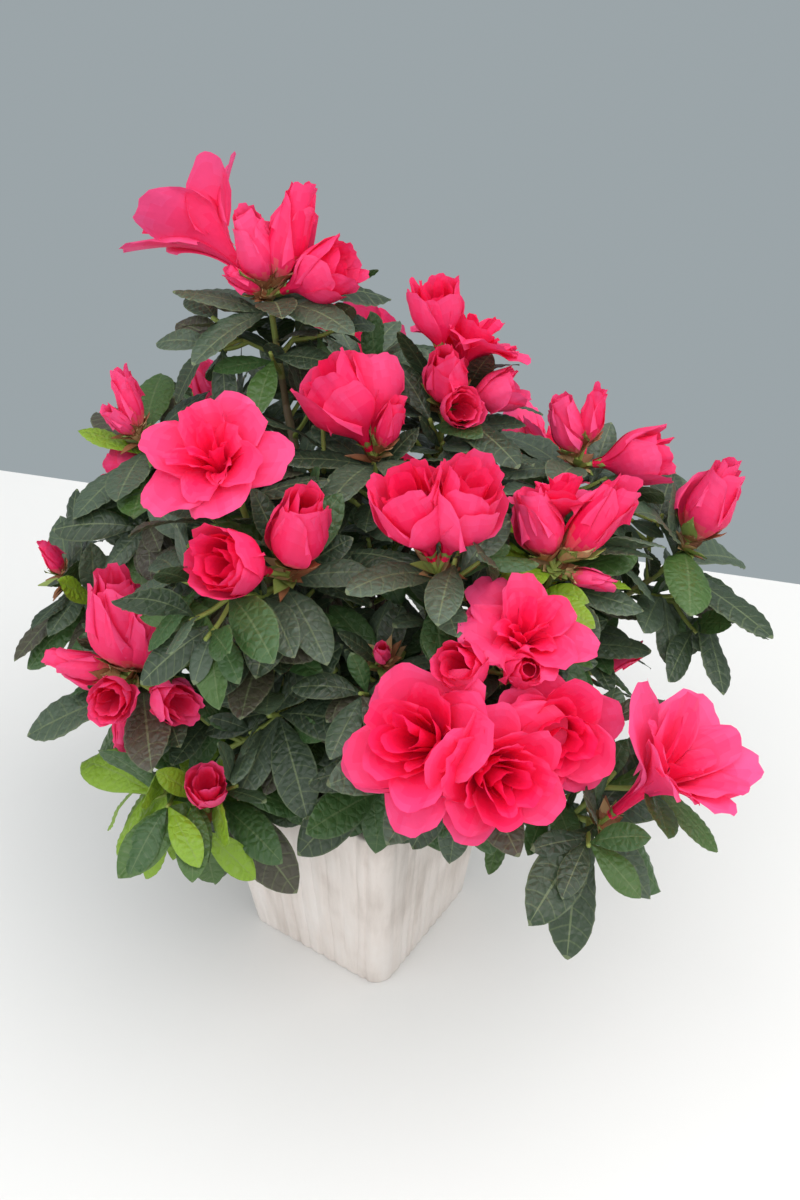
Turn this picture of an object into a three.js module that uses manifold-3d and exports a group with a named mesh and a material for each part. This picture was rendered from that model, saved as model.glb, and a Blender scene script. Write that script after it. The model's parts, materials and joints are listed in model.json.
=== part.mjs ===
// Azalea in bloom in a ribbed square planter.
// Millimetres, +Z up. The origin is the middle of the planter's flat underside, and the
// planter's four faces look along +X, -X, +Y and -Y. Headings turn from +X towards +Y.
import * as THREE from "three";
import Module from "manifold-3d";

const wasm = await Module();
wasm.setup();

const { Vector3 } = THREE;
const UP = new Vector3(0, 0, 1);
const TURN = 2 * Math.PI;
const GOLDEN_TURN = 137.5; // degrees from one leaf to the next up a shoot

// ------------------------------------------------------------------ dimensions

const SEAM = 0.3; // clearance between neighbouring sub-parts

const PLANTER = {
  height: 103,
  footHalf: 36, // half the width across the flats at the foot
  rimHalf: 46,
  cornerRadius: 9,
  cornerSteps: 3,
  wall: 5,
  floor: 6,
  easedEdge: 1.2,
  ribsPerFace: 5,
  ribDepth: 0.8,
  grooveHalf: 1.1,
};

const SOIL = { edge: 93, crown: 95, crownHalf: 15 };

const TRUNK = {
  fork: 121, // height of the top of the short stem
  footRadius: 8.5,
  neckRadius: 5.2,
  topRadius: 4.3,
  flareHeight: 8,
  rootLobes: 3,
  lobeDepth: 0.22,
  leanX: 1.5,
  leanY: 2.5,
  sides: 9,
};

const BOUGH = {
  rootRadius: 2.6,
  tipRadius: 1.5,
  sideShare: 0.74, // how thick a bough is that leaves another bough
  outward: 0.9, // how it leaves the trunk
  upward: 0.8,
  forward: 0.7, // how far it leaves along its parent
  sides: 5,
  steps: 4,
};

const TWIG = {
  rootRadius: 1.8,
  tipRadius: 1.4,
  sideRadius: 1.2,
  rise: 0.55, // how far its tip turns up
  steps: 3,
  sideSteps: 2,
};

const LEAF = {
  widthShare: 0.4, // of its length
  keelShare: 1 / 42, // thickness under the midrib, of its length
  thinnest: 0.7,
  full: { stations: [0.5, 0.8], halfWidths: [0.9, 0.88] }, // round the flowers
  plain: { stations: [0.62], halfWidths: [1] }, // lower down the twigs
  rootDepth: 0.3, // how far its root lies behind the twig's centre line, of the twig's radius
  testFrom: 0.16, // the share of its length past which a leaf keeps clear of everything
};

// How leaves are dealt out, from a random share of each range. Angles are in degrees.
const GROWTH = {
  droop: [0.3, 0.8],
  lookUp: 1.2, // how far a leaf's upper face turns from its twig's tip towards the sky
  tries: 5, // fresh places or smaller sizes tried before a piece is skipped
  shrink: 0.12, // taken off the size at each try
  lift: 0.3, // turned towards the twig's tip at each try
};

const WHORL = {
  fromTip: 1.2,
  depth: 9, // the length of twig that its leaves leave from
  spread: 72, // between a leaf and the twig's tip
  scatter: [-12, 12],
  size: [0.84, 1.14],
};

const STEM_LEAVES = {
  fromTip: 13,
  spacing: 9,
  lowest: 0.72, // the share of the twig that they reach down
  lean: [58, 78],
  size: [0.74, 1.04],
};

const SIDE_SHOOTS = {
  along: [0.3, 0.75],
  length: [20, 34],
  forward: 0.55,
  rise: 0.5,
  leaves: 5,
  leafLength: 36,
  spread: 66,
};

const SPACE = {
  clear: 0.7, // what a leaf or a bloom keeps from everything grown before it
  reachOver: 12, // how much nearer the next spray's shoots than its own a leaf may come
  fromPlanter: 1.6,
};

const COLOURS = {
  planter: 0xd8cec6,
  soil: 0x3a2c22,
  bark: 0x6b5a45,
  foliage: 0x46583f,
};

// A bloom's corolla is one lobed bell: its tube, how far its throat and rim open, where
// they stand along its axis, and the heart of inner petals that fills it, all as shares of
// the bloom's size. A bud and a half-open flower are spindles, widest at their swell.
const BLOOMS = {
  open: { tube: 0.3, throat: 0.42, throatAt: 0.34, rim: 1.0, rimAt: 0.42, heart: 0.4, heartAt: 0.66 },
  funnel: { tube: 0.5, throat: 0.34, throatAt: 0.5, rim: 0.78, rimAt: 0.98, heart: 0, heartAt: 0 },
  rose: { tube: 0.24, throat: 0.6, throatAt: 0.34, rim: 0.98, rimAt: 0.66, heart: 0.5, heartAt: 0.86 },
  cup: { tube: 0.2, throat: 0.42, throatAt: 0.42, rim: 0.4, rimAt: 1.0, heart: 0, heartAt: 0 },
  half: { swell: 0.42, waist: 0.29 },
  bud: { swell: 0.32, waist: 0.2 },
};

const COROLLA = { lobes: 5, sides: 10, lobeDepth: 0.16, thickness: 1.1, well: 0.85, sunk: 0.9 };

const bloom = (kind, heading, lift, size, stalk = 4) => ({ kind, heading, lift, size, stalk });

const shoot = (heading, reach, height, leaves, leafLength, turn, blooms = []) => ({
  heading,
  reach,
  height,
  leaves,
  leafLength,
  turn,
  blooms,
});

// Every spray of the crown: the limb that its bough leaves and how far along that limb,
// the length of its stem back from the shoots' tips, the rise of that stem, how many leafy
// side shoots fill it, and its flowering shoots by heading, reach from the planter's axis
// and height above the ground.
const SPRAYS = {
  crest: {
    parent: "trunk", along: 0.97, stem: 42, rise: 0.9, fill: 2,
    shoots: [
      shoot(151, 68, 270, 7, 44, 10, [
        bloom("funnel", 180, 33, 34, 4),
        bloom("half", 196, 76, 31, 4),
        bloom("bud", 50, 70, 41, 5),
        bloom("bud", 235, 40, 19, 3),
        bloom("cup", 20, 30, 25, 6),
      ]),
    ],
  },
  centre_top: {
    parent: "trunk", along: 0.99, stem: 36, rise: 1.2, fill: 2,
    shoots: [
      shoot(94, 17, 228, 7, 38, 40, [
        bloom("cup", 200, 62, 30, 4),
        bloom("cup", 130, 62, 25, 7),
        bloom("bud", 34, 70, 24, 4),
      ]),
    ],
  },
  front_right: {
    parent: "trunk", along: 0.9, stem: 44, rise: 0.5, fill: 1,
    shoots: [
      shoot(330, 86, 170, 6, 42, 0, [
        bloom("rose", 262, 44, 28, 10),
        bloom("rose", 330, 22, 27, 11),
      ]),
      shoot(349, 90, 172, 5, 40, 30, [bloom("rose", 318, 28, 25, 9)]),
      shoot(350, 76, 182, 3, 38, 30, [
        bloom("open", 336, 72, 24, 11),
        bloom("cup", 268, 40, 19, 22),
        bloom("half", 312, 43, 22, 22),
      ]),
    ],
  },
  right_outer: {
    parent: "trunk", along: 0.84, stem: 46, rise: 0.35, fill: 2,
    shoots: [shoot(42, 129, 185, 7, 50, 20, [bloom("half", 58, 66, 36, 4)])],
  },
  right_upper: {
    parent: "trunk", along: 0.94, stem: 42, rise: 0.7, fill: 2,
    shoots: [
      shoot(56, 93, 212, 7, 40, 45, [
        bloom("half", 190, 72, 26, 5),
        bloom("bud", 70, 76, 25, 9),
        bloom("cup", 26, 14, 24, 6),
      ]),
    ],
  },
  left_upper: {
    parent: "trunk", along: 0.87, stem: 44, rise: 0.6, fill: 2,
    shoots: [
      shoot(189, 90, 222, 7, 45, 0, [
        bloom("bud", 170, 76, 27, 3),
        bloom("bud", 240, 55, 15, 3),
      ]),
      shoot(184, 80, 204, 5, 38, 50, [bloom("cup", 214, 12, 18, 6)]),
    ],
  },
  low_left: {
    parent: "trunk", along: 0.78, stem: 40, rise: 0.35, fill: 2,
    shoots: [
      shoot(234, 87, 160, 7, 48, 30, [
        bloom("half", 150, 84, 43, 5),
        bloom("half", 30, 74, 37, 6),
        bloom("bud", 214, 20, 28, 5),
        bloom("cup", 300, 26, 15, 12),
        bloom("cup", 346, 16, 15, 15),
        bloom("bud", 296, -38, 20, 8),
      ]),
    ],
  },
  back_right: {
    parent: "trunk", along: 0.81, stem: 42, rise: 0.4, fill: 3,
    shoots: [
      shoot(84, 110, 166, 6, 42, 0, [
        bloom("rose", 70, 34, 25, 8),
        bloom("cup", 124, 22, 27, 7),
      ]),
    ],
  },
  back_left: {
    parent: "crest", along: 0.3, stem: 40, rise: 0.5, fill: 2,
    shoots: [
      shoot(154, 118, 192, 7, 42, 25, [
        bloom("bud", 200, 76, 26, 5),
        bloom("open", 148, -18, 22, 8),
      ]),
    ],
  },
  back_top: {
    parent: "crest", along: 0.5, stem: 36, rise: 0.7, fill: 2,
    shoots: [shoot(124, 112, 210, 7, 38, 0, [bloom("rose", 128, 16, 22, 6)])],
  },
  upper_middle: {
    parent: "centre_top", along: 0.42, stem: 34, rise: 1, fill: 2,
    shoots: [
      shoot(82, 52, 235, 6, 40, 20, [
        bloom("open", 80, 60, 24, 11),
        bloom("cup", 200, 84, 22, 24),
        bloom("half", 300, 70, 29, 4),
        bloom("cup", 320, 30, 15, 5),
        bloom("cup", 26, 24, 15, 8),
      ]),
    ],
  },
  left_centre: {
    parent: "low_left", along: 0.34, stem: 34, rise: 0.9, fill: 2,
    shoots: [
      shoot(275, 43, 214, 6, 38, 20, [
        bloom("half", 346, 71, 37, 7),
        bloom("cup", 262, 36, 27, 10),
      ]),
      shoot(240, 42, 234, 2, 32, 50, [bloom("open", 272, 62, 26, 8)]),
    ],
  },
  centre: {
    parent: "front_right", along: 0.32, stem: 36, rise: 1, fill: 2,
    shoots: [
      shoot(341, 51, 217, 6, 40, 0, [
        bloom("cup", 236, 72, 30, 7),
        bloom("cup", 20, 74, 30, 7),
      ]),
    ],
  },
  centre_right: {
    parent: "right_outer", along: 0.38, stem: 32, rise: 0.9, fill: 2,
    shoots: [
      shoot(15, 76, 207, 6, 38, 10, [
        bloom("bud", 44, 53, 39, 5),
        bloom("half", 198, 70, 30, 5),
        bloom("rose", 120, 62, 17, 14),
        bloom("bud", 14, -4, 15, 5),
      ]),
    ],
  },
  low_right: {
    parent: "front_right", along: 0.52, stem: 40, rise: 0.1, fill: 2,
    shoots: [shoot(350, 122, 142, 8, 44, 5, [bloom("funnel", 24, 56, 34, 5)])],
  },
  left_outer: {
    parent: "left_upper", along: 0.45, stem: 44, rise: 0.25, fill: 2,
    shoots: [
      shoot(203, 117, 165, 7, 36, 12, [bloom("bud", 214, 72, 18, 4)]),
      shoot(196, 92, 178, 6, 38, 40),
    ],
  },
  bottom_left: {
    parent: "low_left", along: 0.5, stem: 34, rise: -0.05, fill: 2,
    shoots: [
      shoot(250, 92, 123, 6, 40, 0),
      shoot(258, 76, 114, 7, 46, 15, [bloom("cup", 318, 64, 15, 14)]),
    ],
  },
  front_left: {
    parent: "low_left", along: 0.2, stem: 28, rise: 0.7, fill: 1,
    shoots: [
      shoot(272, 56, 158, 7, 44, 10),
      shoot(259, 48, 182, 5, 40, 30),
      shoot(296, 38, 172, 6, 42, 0),
    ],
  },
  front_low: {
    parent: "front_right", along: 0.2, stem: 30, rise: 0.1, fill: 1,
    shoots: [
      shoot(316, 62, 132, 7, 42, 20),
      shoot(318, 48, 182, 6, 36, 0, [bloom("bud", 304, 60, 13, 3)]),
    ],
  },
  right_low: {
    parent: "right_outer", along: 0.25, stem: 36, rise: 0.1, fill: 3,
    shoots: [shoot(32, 86, 138, 6, 42, 0, [bloom("bud", 40, 24, 25, 6)])],
  },
  back_low_left: {
    parent: "back_left", along: 0.28, stem: 36, rise: 0.1, fill: 3,
    shoots: [
      shoot(168, 98, 146, 6, 42, 0, [
        bloom("rose", 164, 24, 23, 8),
        bloom("bud", 216, 30, 26, 6),
      ]),
    ],
  },
  back_low: {
    parent: "back_right", along: 0.3, stem: 38, rise: 0.1, fill: 3,
    shoots: [
      shoot(120, 100, 142, 6, 42, 0, [
        bloom("open", 120, 22, 24, 8),
        bloom("bud", 68, 24, 27, 7),
      ]),
    ],
  },
};

// ---------------------------------------------------------------- small tools

const radians = (degrees) => (degrees * Math.PI) / 180;
const mix = (a, b, share) => a + (b - a) * share;

// A repeatable stream of numbers between 0 and 1.
const seeded = (seed) => {
  let state = seed;
  return () => {
    state = (state * 16807) % 2147483647;
    return state / 2147483647;
  };
};

const within = ([least, most], random) => mix(least, most, random());

const towards = (heading, lift) => {
  const flat = Math.cos(radians(lift));
  return new Vector3(
    flat * Math.cos(radians(heading)),
    flat * Math.sin(radians(heading)),
    Math.sin(radians(lift)),
  );
};

const across = (direction, reference) => {
  const side = new Vector3().crossVectors(direction, reference);
  if (side.length() < 0.05) {
    side.crossVectors(direction, new Vector3(1, 0.2, 0));
  }
  return side.normalize();
};

const along = (start, direction, distance) => start.clone().addScaledVector(direction, distance);

const bend = (start, leaving, end, arriving, steps) => {
  const length = start.distanceTo(end);
  const curve = new THREE.CubicBezierCurve3(
    start,
    along(start, leaving, length * 0.38),
    along(end, arriving, -length * 0.34),
    end,
  );
  return Array.from({ length: steps + 1 }, (_, step) => curve.getPoint(step / steps));
};

const pointAt = (path, share) => {
  const place = share * (path.length - 1);
  const step = Math.min(Math.floor(place), path.length - 2);
  return path[step].clone().lerp(path[step + 1], place - step);
};

const headingAt = (path, share) => {
  const step = Math.min(Math.floor(share * (path.length - 1)), path.length - 2);
  return path[step + 1].clone().sub(path[step]).normalize();
};

const pathLength = (path) =>
  path.slice(1).reduce((total, point, step) => total + point.distanceTo(path[step]), 0);

// ---------------------------------------------------------------- closed solids

// A closed solid through rings of points; a ring of one point is an apex.
const loft = (rings) => {
  const points = [];
  const starts = rings.map((ring) => {
    points.push(...ring);
    return points.length - ring.length;
  });
  const triangles = [];
  const cap = (ring, start, outward) => {
    if (ring.length === 1) {
      return;
    }
    const order = ring.map((_, index) => start + index);
    if (outward) {
      order.reverse();
    }
    if (ring.length < 6) {
      for (let index = 2; index < order.length; index += 1) {
        triangles.push([order[0], order[index], order[index - 1]]);
      }
      return;
    }
    const centre = ring.reduce((sum, point) => sum.add(point), new Vector3());
    points.push(centre.divideScalar(ring.length));
    order.forEach((corner, index) => {
      triangles.push([points.length - 1, order[(index + 1) % order.length], corner]);
    });
  };
  rings.slice(1).forEach((ring, step) => {
    const before = rings[step];
    const count = Math.max(ring.length, before.length);
    const corner = (set, start, index) => start + Math.floor(((index % count) * set.length) / count);
    for (let index = 0; index < count; index += 1) {
      const a = corner(before, starts[step], index);
      const b = corner(before, starts[step], index + 1);
      const c = corner(ring, starts[step + 1], index);
      const d = corner(ring, starts[step + 1], index + 1);
      if (a !== b) {
        triangles.push([a, b, d]);
      }
      if (c !== d) {
        triangles.push([a, d, c]);
      }
    }
  });
  cap(rings[0], starts[0], false);
  cap(rings[rings.length - 1], starts[rings.length - 1], true);
  return { points, triangles };
};

const signedVolume = ({ points, triangles }) =>
  triangles.reduce((sum, [a, b, c]) => {
    const cross = new Vector3().crossVectors(points[b], points[c]);
    return sum + points[a].dot(cross) / 6;
  }, 0);

const solidOf = (shape) => {
  const outward = signedVolume(shape) > 0;
  const triVerts = shape.triangles.flatMap(([a, b, c]) => (outward ? [a, b, c] : [a, c, b]));
  return new wasm.Manifold(
    new wasm.Mesh({
      numProp: 3,
      vertProperties: Float32Array.from(shape.points.flatMap((point) => point.toArray())),
      triVerts: Uint32Array.from(triVerts),
    }),
  );
};

// The one main body of a solid: loose scraps are dropped and sealed hollows are filled.
const mainBody = (solid) =>
  solid.decompose().reduce((best, body) => (body.volume() > best.volume() ? body : best));

const fuse = (shapes) => {
  let layer = shapes.map(solidOf);
  while (layer.length > 1) {
    layer = layer.flatMap((solid, index) => {
      if (index % 2 === 1) {
        return [];
      }
      return index + 1 < layer.length ? [solid.add(layer[index + 1])] : [solid];
    });
  }
  return mainBody(layer[0]);
};

const meshOf = (name, solid, colour, roughness) => {
  const body = solid.getMesh();
  const geometry = new THREE.BufferGeometry();
  geometry.setAttribute("position", new THREE.BufferAttribute(body.vertProperties, 3));
  geometry.setIndex(new THREE.BufferAttribute(body.triVerts, 1));
  geometry.computeVertexNormals();
  const material = new THREE.MeshStandardMaterial({ color: colour, roughness, metalness: 0 });
  const mesh = new THREE.Mesh(geometry, material);
  mesh.name = name;
  return mesh;
};

const circle = (centre, direction, radius, sides, swell = () => 1) => {
  const side = across(direction, Math.abs(direction.z) > 0.8 ? new Vector3(0, 1, 0) : UP);
  const lift = new Vector3().crossVectors(side, direction);
  return Array.from({ length: sides }, (_, index) => {
    const angle = (TURN * index) / sides;
    const reach = radius * swell(angle);
    return centre
      .clone()
      .addScaledVector(side, reach * Math.cos(angle))
      .addScaledVector(lift, reach * Math.sin(angle));
  });
};

// The direction of a limb at each point of its path, with two axes square to it that don't
// twist. Its end faces lie square to the directions in which it leaves and arrives.
const framesOf = ({ path, leaving, arriving }) => {
  const last = path.length - 1;
  let side = across(leaving, UP);
  return path.map((_, step) => {
    const inner = path[Math.min(step + 1, last)].clone().sub(path[Math.max(step - 1, 0)]);
    const direction = [leaving, inner, arriving][(step > 0) + (step === last)].clone().normalize();
    side = side.clone().addScaledVector(direction, -side.dot(direction)).normalize();
    return { direction, side, lift: new Vector3().crossVectors(direction, side) };
  });
};

// A tapering limb along a path, grown by the same amount all over where one is given.
const limbShape = (limb, extra = 0) => {
  const { path, radii, sides } = limb;
  const frames = framesOf(limb);
  const rings = path.map((centre, step) => {
    const { side, lift } = frames[step];
    const radius = radii[step] + extra;
    return Array.from({ length: sides }, (_, index) => {
      const angle = (TURN * index) / sides;
      return centre
        .clone()
        .addScaledVector(side, radius * Math.cos(angle))
        .addScaledVector(lift, radius * Math.sin(angle));
    });
  });
  return loft(rings);
};

const taper = (from, to, steps) =>
  Array.from({ length: steps + 1 }, (_, step) => mix(from, to, step / steps));

// --------------------------------------------------------------------- planter

const planterHalf = (height) => mix(PLANTER.footHalf, PLANTER.rimHalf, height / PLANTER.height);

// Uneven upright ribs: the grooves between them as shares of a face's flat width.
const ribRandom = seeded(41);
const ribWidths = Array.from({ length: 4 * PLANTER.ribsPerFace }, () => 0.6 + ribRandom());
const ribDepths = ribWidths.map(() => PLANTER.ribDepth * (0.55 + 0.6 * ribRandom()));

const planterRing = (height, inset, relief) => {
  const half = planterHalf(height) - inset;
  const corner = Math.max(PLANTER.cornerRadius - inset, 2);
  const flat = half - corner;
  const ring = [];
  for (let face = 0; face < 4; face += 1) {
    const outline = [];
    const widths = ribWidths.slice(face * PLANTER.ribsPerFace, (face + 1) * PLANTER.ribsPerFace);
    const total = widths.reduce((sum, width) => sum + width, 0);
    let place = 0;
    outline.push([-flat, 0]);
    widths.slice(0, -1).forEach((width, rib) => {
      place += width / total;
      const middle = mix(-flat, flat, place);
      const depth = relief * ribDepths[face * PLANTER.ribsPerFace + rib];
      outline.push([middle - PLANTER.grooveHalf, 0], [middle, depth], [middle + PLANTER.grooveHalf, 0]);
    });
    outline.push([flat, 0]);
    for (let step = 1; step < PLANTER.cornerSteps; step += 1) {
      const angle = (Math.PI / 2) * (step / PLANTER.cornerSteps);
      outline.push([flat + corner * Math.sin(angle), corner * (1 - Math.cos(angle))]);
    }
    const turn = (Math.PI / 2) * face;
    outline.forEach(([x, depth]) => {
      const y = depth - half;
      ring.push(
        new Vector3(
          x * Math.cos(turn) - y * Math.sin(turn),
          x * Math.sin(turn) + y * Math.cos(turn),
          height,
        ),
      );
    });
  }
  return ring;
};

const planterShape = loft([
  planterRing(0, PLANTER.easedEdge, 1),
  planterRing(PLANTER.easedEdge, 0, 1),
  planterRing(PLANTER.height - PLANTER.easedEdge, 0, 1),
  planterRing(PLANTER.height, PLANTER.easedEdge, 0.4),
  planterRing(PLANTER.height, PLANTER.wall, 0),
  planterRing(PLANTER.floor, PLANTER.wall, 0),
]);

const soilRing = (height, half) => {
  const corner = half * 0.15;
  return circle(new Vector3(0, 0, height), UP, half, 16, (angle) => {
    const straight = 1 / Math.max(Math.abs(Math.cos(angle)), Math.abs(Math.sin(angle)));
    return Math.min(straight, Math.SQRT2 - corner / half);
  });
};

const soilHalf = (height) => planterHalf(height) - PLANTER.wall - SEAM - 0.1;

const soilShape = loft([
  soilRing(PLANTER.floor + SEAM, soilHalf(PLANTER.floor)),
  soilRing(SOIL.edge, soilHalf(SOIL.edge)),
  soilRing(SOIL.crown, SOIL.crownHalf),
]);

// ---------------------------------------------------------------- trunk, boughs

const trunkFoot = SOIL.crown + SEAM;

const trunkCentre = (height) => {
  const share = (height - trunkFoot) / (TRUNK.fork - trunkFoot);
  return new Vector3(TRUNK.leanX * share, TRUNK.leanY * share, height);
};

const trunkHeights = [
  trunkFoot,
  trunkFoot + TRUNK.flareHeight * 0.35,
  trunkFoot + TRUNK.flareHeight,
  mix(trunkFoot, TRUNK.fork, 0.65),
  TRUNK.fork - 1.5,
  TRUNK.fork,
];

const trunkRadius = (height) => {
  if (height > TRUNK.fork - 1) {
    return TRUNK.topRadius * 0.7;
  }
  const flare = Math.max(0, 1 - (height - trunkFoot) / TRUNK.flareHeight);
  const share = (height - trunkFoot) / (TRUNK.fork - trunkFoot);
  const plain = mix(TRUNK.neckRadius, TRUNK.topRadius, share);
  return mix(plain, TRUNK.footRadius, flare * flare);
};

const trunkShape = (extra = 0) =>
  loft(
    trunkHeights.map((height) => {
      const flare = Math.max(0, 1 - (height - trunkFoot) / TRUNK.flareHeight);
      return circle(trunkCentre(height), UP, trunkRadius(height) + extra, TRUNK.sides, (angle) =>
        1 + TRUNK.lobeDepth * flare * Math.cos(TRUNK.rootLobes * angle));
    }),
  );

const limbs = {
  trunk: {
    path: trunkHeights.map(trunkCentre),
    radii: trunkHeights.map(trunkRadius),
  },
};

const tipOf = ({ heading, reach, height }) =>
  new Vector3(reach * Math.cos(radians(heading)), reach * Math.sin(radians(heading)), height);

const layOut = (name, spray) => {
  const parent = limbs[spray.parent];
  const root = pointAt(parent.path, spray.along);
  const tips = spray.shoots.map(tipOf);
  const middle = tips
    .reduce((sum, tip) => sum.add(tip), new Vector3())
    .divideScalar(tips.length);
  const outward = middle.clone().sub(root).normalize();
  const direction = outward.clone().addScaledVector(UP, spray.rise).normalize();
  const end = along(middle, direction, -spray.stem);
  const flat = new Vector3(outward.x, outward.y, 0);
  const leaving = flat.multiplyScalar(BOUGH.outward).addScaledVector(UP, BOUGH.upward).normalize();
  if (spray.parent !== "trunk") {
    leaving.copy(end).sub(root).normalize();
    leaving.addScaledVector(headingAt(parent.path, spray.along), BOUGH.forward).normalize();
  }
  const thick = spray.parent === "trunk" ? 1 : BOUGH.sideShare;
  limbs[name] = {
    path: bend(root, leaving, end, direction, BOUGH.steps),
    radii: taper(BOUGH.rootRadius * thick, BOUGH.tipRadius * Math.sqrt(thick), BOUGH.steps),
    sides: BOUGH.sides,
    leaving,
    arriving: direction,
  };
  const foot = along(end, direction, SEAM);
  const twigs = spray.shoots.map((tip, index) => {
    const straight = tips[index].clone().sub(foot).normalize();
    const rising = straight.addScaledVector(UP, TWIG.rise).normalize();
    return {
      path: bend(foot, direction, tips[index], rising, TWIG.steps),
      radii: taper(TWIG.rootRadius, TWIG.tipRadius, TWIG.steps),
      sides: 3,
      leaving: direction,
      arriving: rising,
    };
  });
  return { name, spray, twigs, shapes: twigs.map((twig) => limbShape(twig)) };
};

const crown = Object.entries(SPRAYS).map(([name, spray]) => layOut(name, spray));

// ------------------------------------------------------------ space for a spray

const distanceToPath = (point, path) => {
  let nearest = Infinity;
  for (let step = 0; step + 1 < path.length; step += 1) {
    const run = path[step + 1].clone().sub(path[step]);
    const share = point.clone().sub(path[step]).dot(run) / run.lengthSq();
    const foot = along(path[step], run, THREE.MathUtils.clamp(share, 0, 1));
    nearest = Math.min(nearest, point.distanceTo(foot));
  }
  return nearest;
};

const nearestShoot = (point, { twigs }) =>
  Math.min(...twigs.map(({ path }) => distanceToPath(point, path)));

const inOwnSpace = (points, own) =>
  points.every((point) => {
    const inside = Math.max(Math.abs(point.x), Math.abs(point.y)) <
      planterHalf(point.z) + SPACE.fromPlanter;
    if (inside && point.z < PLANTER.height + SPACE.fromPlanter) {
      return false;
    }
    const limit = nearestShoot(point, own) - SPACE.reachOver;
    return crown.every((other) => other === own || nearestShoot(point, other) > limit);
  });

// Everything grown so far, each piece with the ball it lies in.
const taken = [];

const ballOf = ({ points }) => {
  const box = new THREE.Box3().setFromPoints(points);
  return box.getBoundingSphere(new THREE.Sphere());
};

const take = (shape, owner, kind) => {
  taken.push({ solid: solidOf(shape), ball: ballOf(shape), owner, kind });
};

const isClear = (shape, owner, ignored) => {
  const ball = ballOf(shape);
  const solid = solidOf(shape);
  return taken.every((piece) => {
    if (piece.owner === owner && ignored.includes(piece.kind)) {
      return true;
    }
    return !ball.intersectsSphere(piece.ball) || solid.intersect(piece.solid).isEmpty();
  });
};

// ---------------------------------------------------------------- leaves, twigs

const leafCourse = (root, direction, length, droop, stations) => {
  const course = [];
  let place = root.clone();
  let last = 0;
  stations.forEach((station) => {
    const heading = direction.clone().addScaledVector(UP, -droop * station).normalize();
    place = along(place, heading, (station - last) * length);
    last = station;
    course.push({ place, heading });
  });
  return course;
};

// A leaf: flat above, keeled below, widest past its middle, drooping to its tip. Its room
// is the same leaf, thicker all over and without its root.
const leafOf = (root, direction, facing, length, droop, { stations, halfWidths }) => {
  const side = across(direction, facing);
  const half = (length * LEAF.widthShare) / 2;
  const keel = Math.max(LEAF.thinnest, length * LEAF.keelShare);
  const course = leafCourse(root, direction, length, droop, [LEAF.testFrom, ...stations, 1]);
  const rings = [];
  const room = [];
  course.forEach(({ place, heading }, row) => {
    const above = new Vector3().crossVectors(side, heading);
    const reach = half * [LEAF.testFrom, ...halfWidths, 0][row];
    const wide = reach + SPACE.clear;
    room.push([
      along(place, side, -wide),
      along(place, above, SPACE.clear),
      along(place, side, wide),
      along(place, above, -keel - SPACE.clear),
    ]);
    rings.push([along(place, side, -reach), along(place, side, reach), along(place, above, -keel)]);
  });
  const tip = course[course.length - 1].place;
  return {
    shape: loft([[root], ...rings.slice(1, -1), [tip]]),
    room: loft(room),
    marks: [...rings.slice(1).map((ring) => ring[0]), ...rings.slice(1).map((ring) => ring[1])],
  };
};

const tryLeaf = (own, root, direction, facing, length, droop, outline) => {
  for (let attempt = 0; attempt < GROWTH.tries - 1; attempt += 1) {
    const lifted = direction.clone().addScaledVector(facing, GROWTH.lift * attempt).normalize();
    const grown = length * (1 - GROWTH.shrink * attempt);
    const leaf = leafOf(root, lifted, facing, grown, droop, outline);
    if (inOwnSpace(leaf.marks, own) && isClear(leaf.room, own, ["twig"])) {
      own.shapes.push(leaf.shape);
      take(leaf.shape, own, "leaf");
      return;
    }
  }
};

// A place inside a three-sided twig, behind the middle of the face that a leaf leaves by.
const rootUnder = (twig, share, direction) => {
  const { path, radii } = twig;
  const frame = framesOf(twig)[Math.round(share * (path.length - 1))];
  const faces = [60, 180, 300].map((angle) =>
    frame.side
      .clone()
      .multiplyScalar(Math.cos(radians(angle)))
      .addScaledVector(frame.lift, Math.sin(radians(angle))));
  const face = faces.reduce((best, next) => (next.dot(direction) > best.dot(direction) ? next : best));
  const radius = mix(radii[0], radii[radii.length - 1], share);
  return along(pointAt(path, share), face, -radius * LEAF.rootDepth);
};

// A direction that leans from a twig's axis, turned round it from its level side.
const leaning = (axis, lean, turn) => {
  const side = across(axis, UP);
  const lift = new Vector3().crossVectors(side, axis);
  return axis
    .clone()
    .multiplyScalar(Math.cos(radians(lean)))
    .addScaledVector(side, Math.sin(radians(lean)) * Math.cos(radians(turn)))
    .addScaledVector(lift, Math.sin(radians(lean)) * Math.sin(radians(turn)));
};

const growLeaf = (own, random, twig, { back, lean, turn, length, outline }) => {
  const share = 1 - back / pathLength(twig.path);
  const axis = headingAt(twig.path, share);
  const direction = leaning(axis, lean, turn);
  const facing = axis.clone().addScaledVector(UP, GROWTH.lookUp).normalize();
  const root = rootUnder(twig, share, direction);
  tryLeaf(own, root, direction, facing, length, within(GROWTH.droop, random), outline);
};

const whorl = (own, random, twig, { count, leafLength, turn, spread, outline }) => {
  for (let index = 0; index < count; index += 1) {
    growLeaf(own, random, twig, {
      back: WHORL.fromTip + (WHORL.depth * (index + random())) / count,
      turn: turn + (360 * index) / count + within(WHORL.scatter, random),
      lean: spread + within(WHORL.scatter, random),
      length: leafLength * within(WHORL.size, random),
      outline,
    });
  }
};

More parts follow.
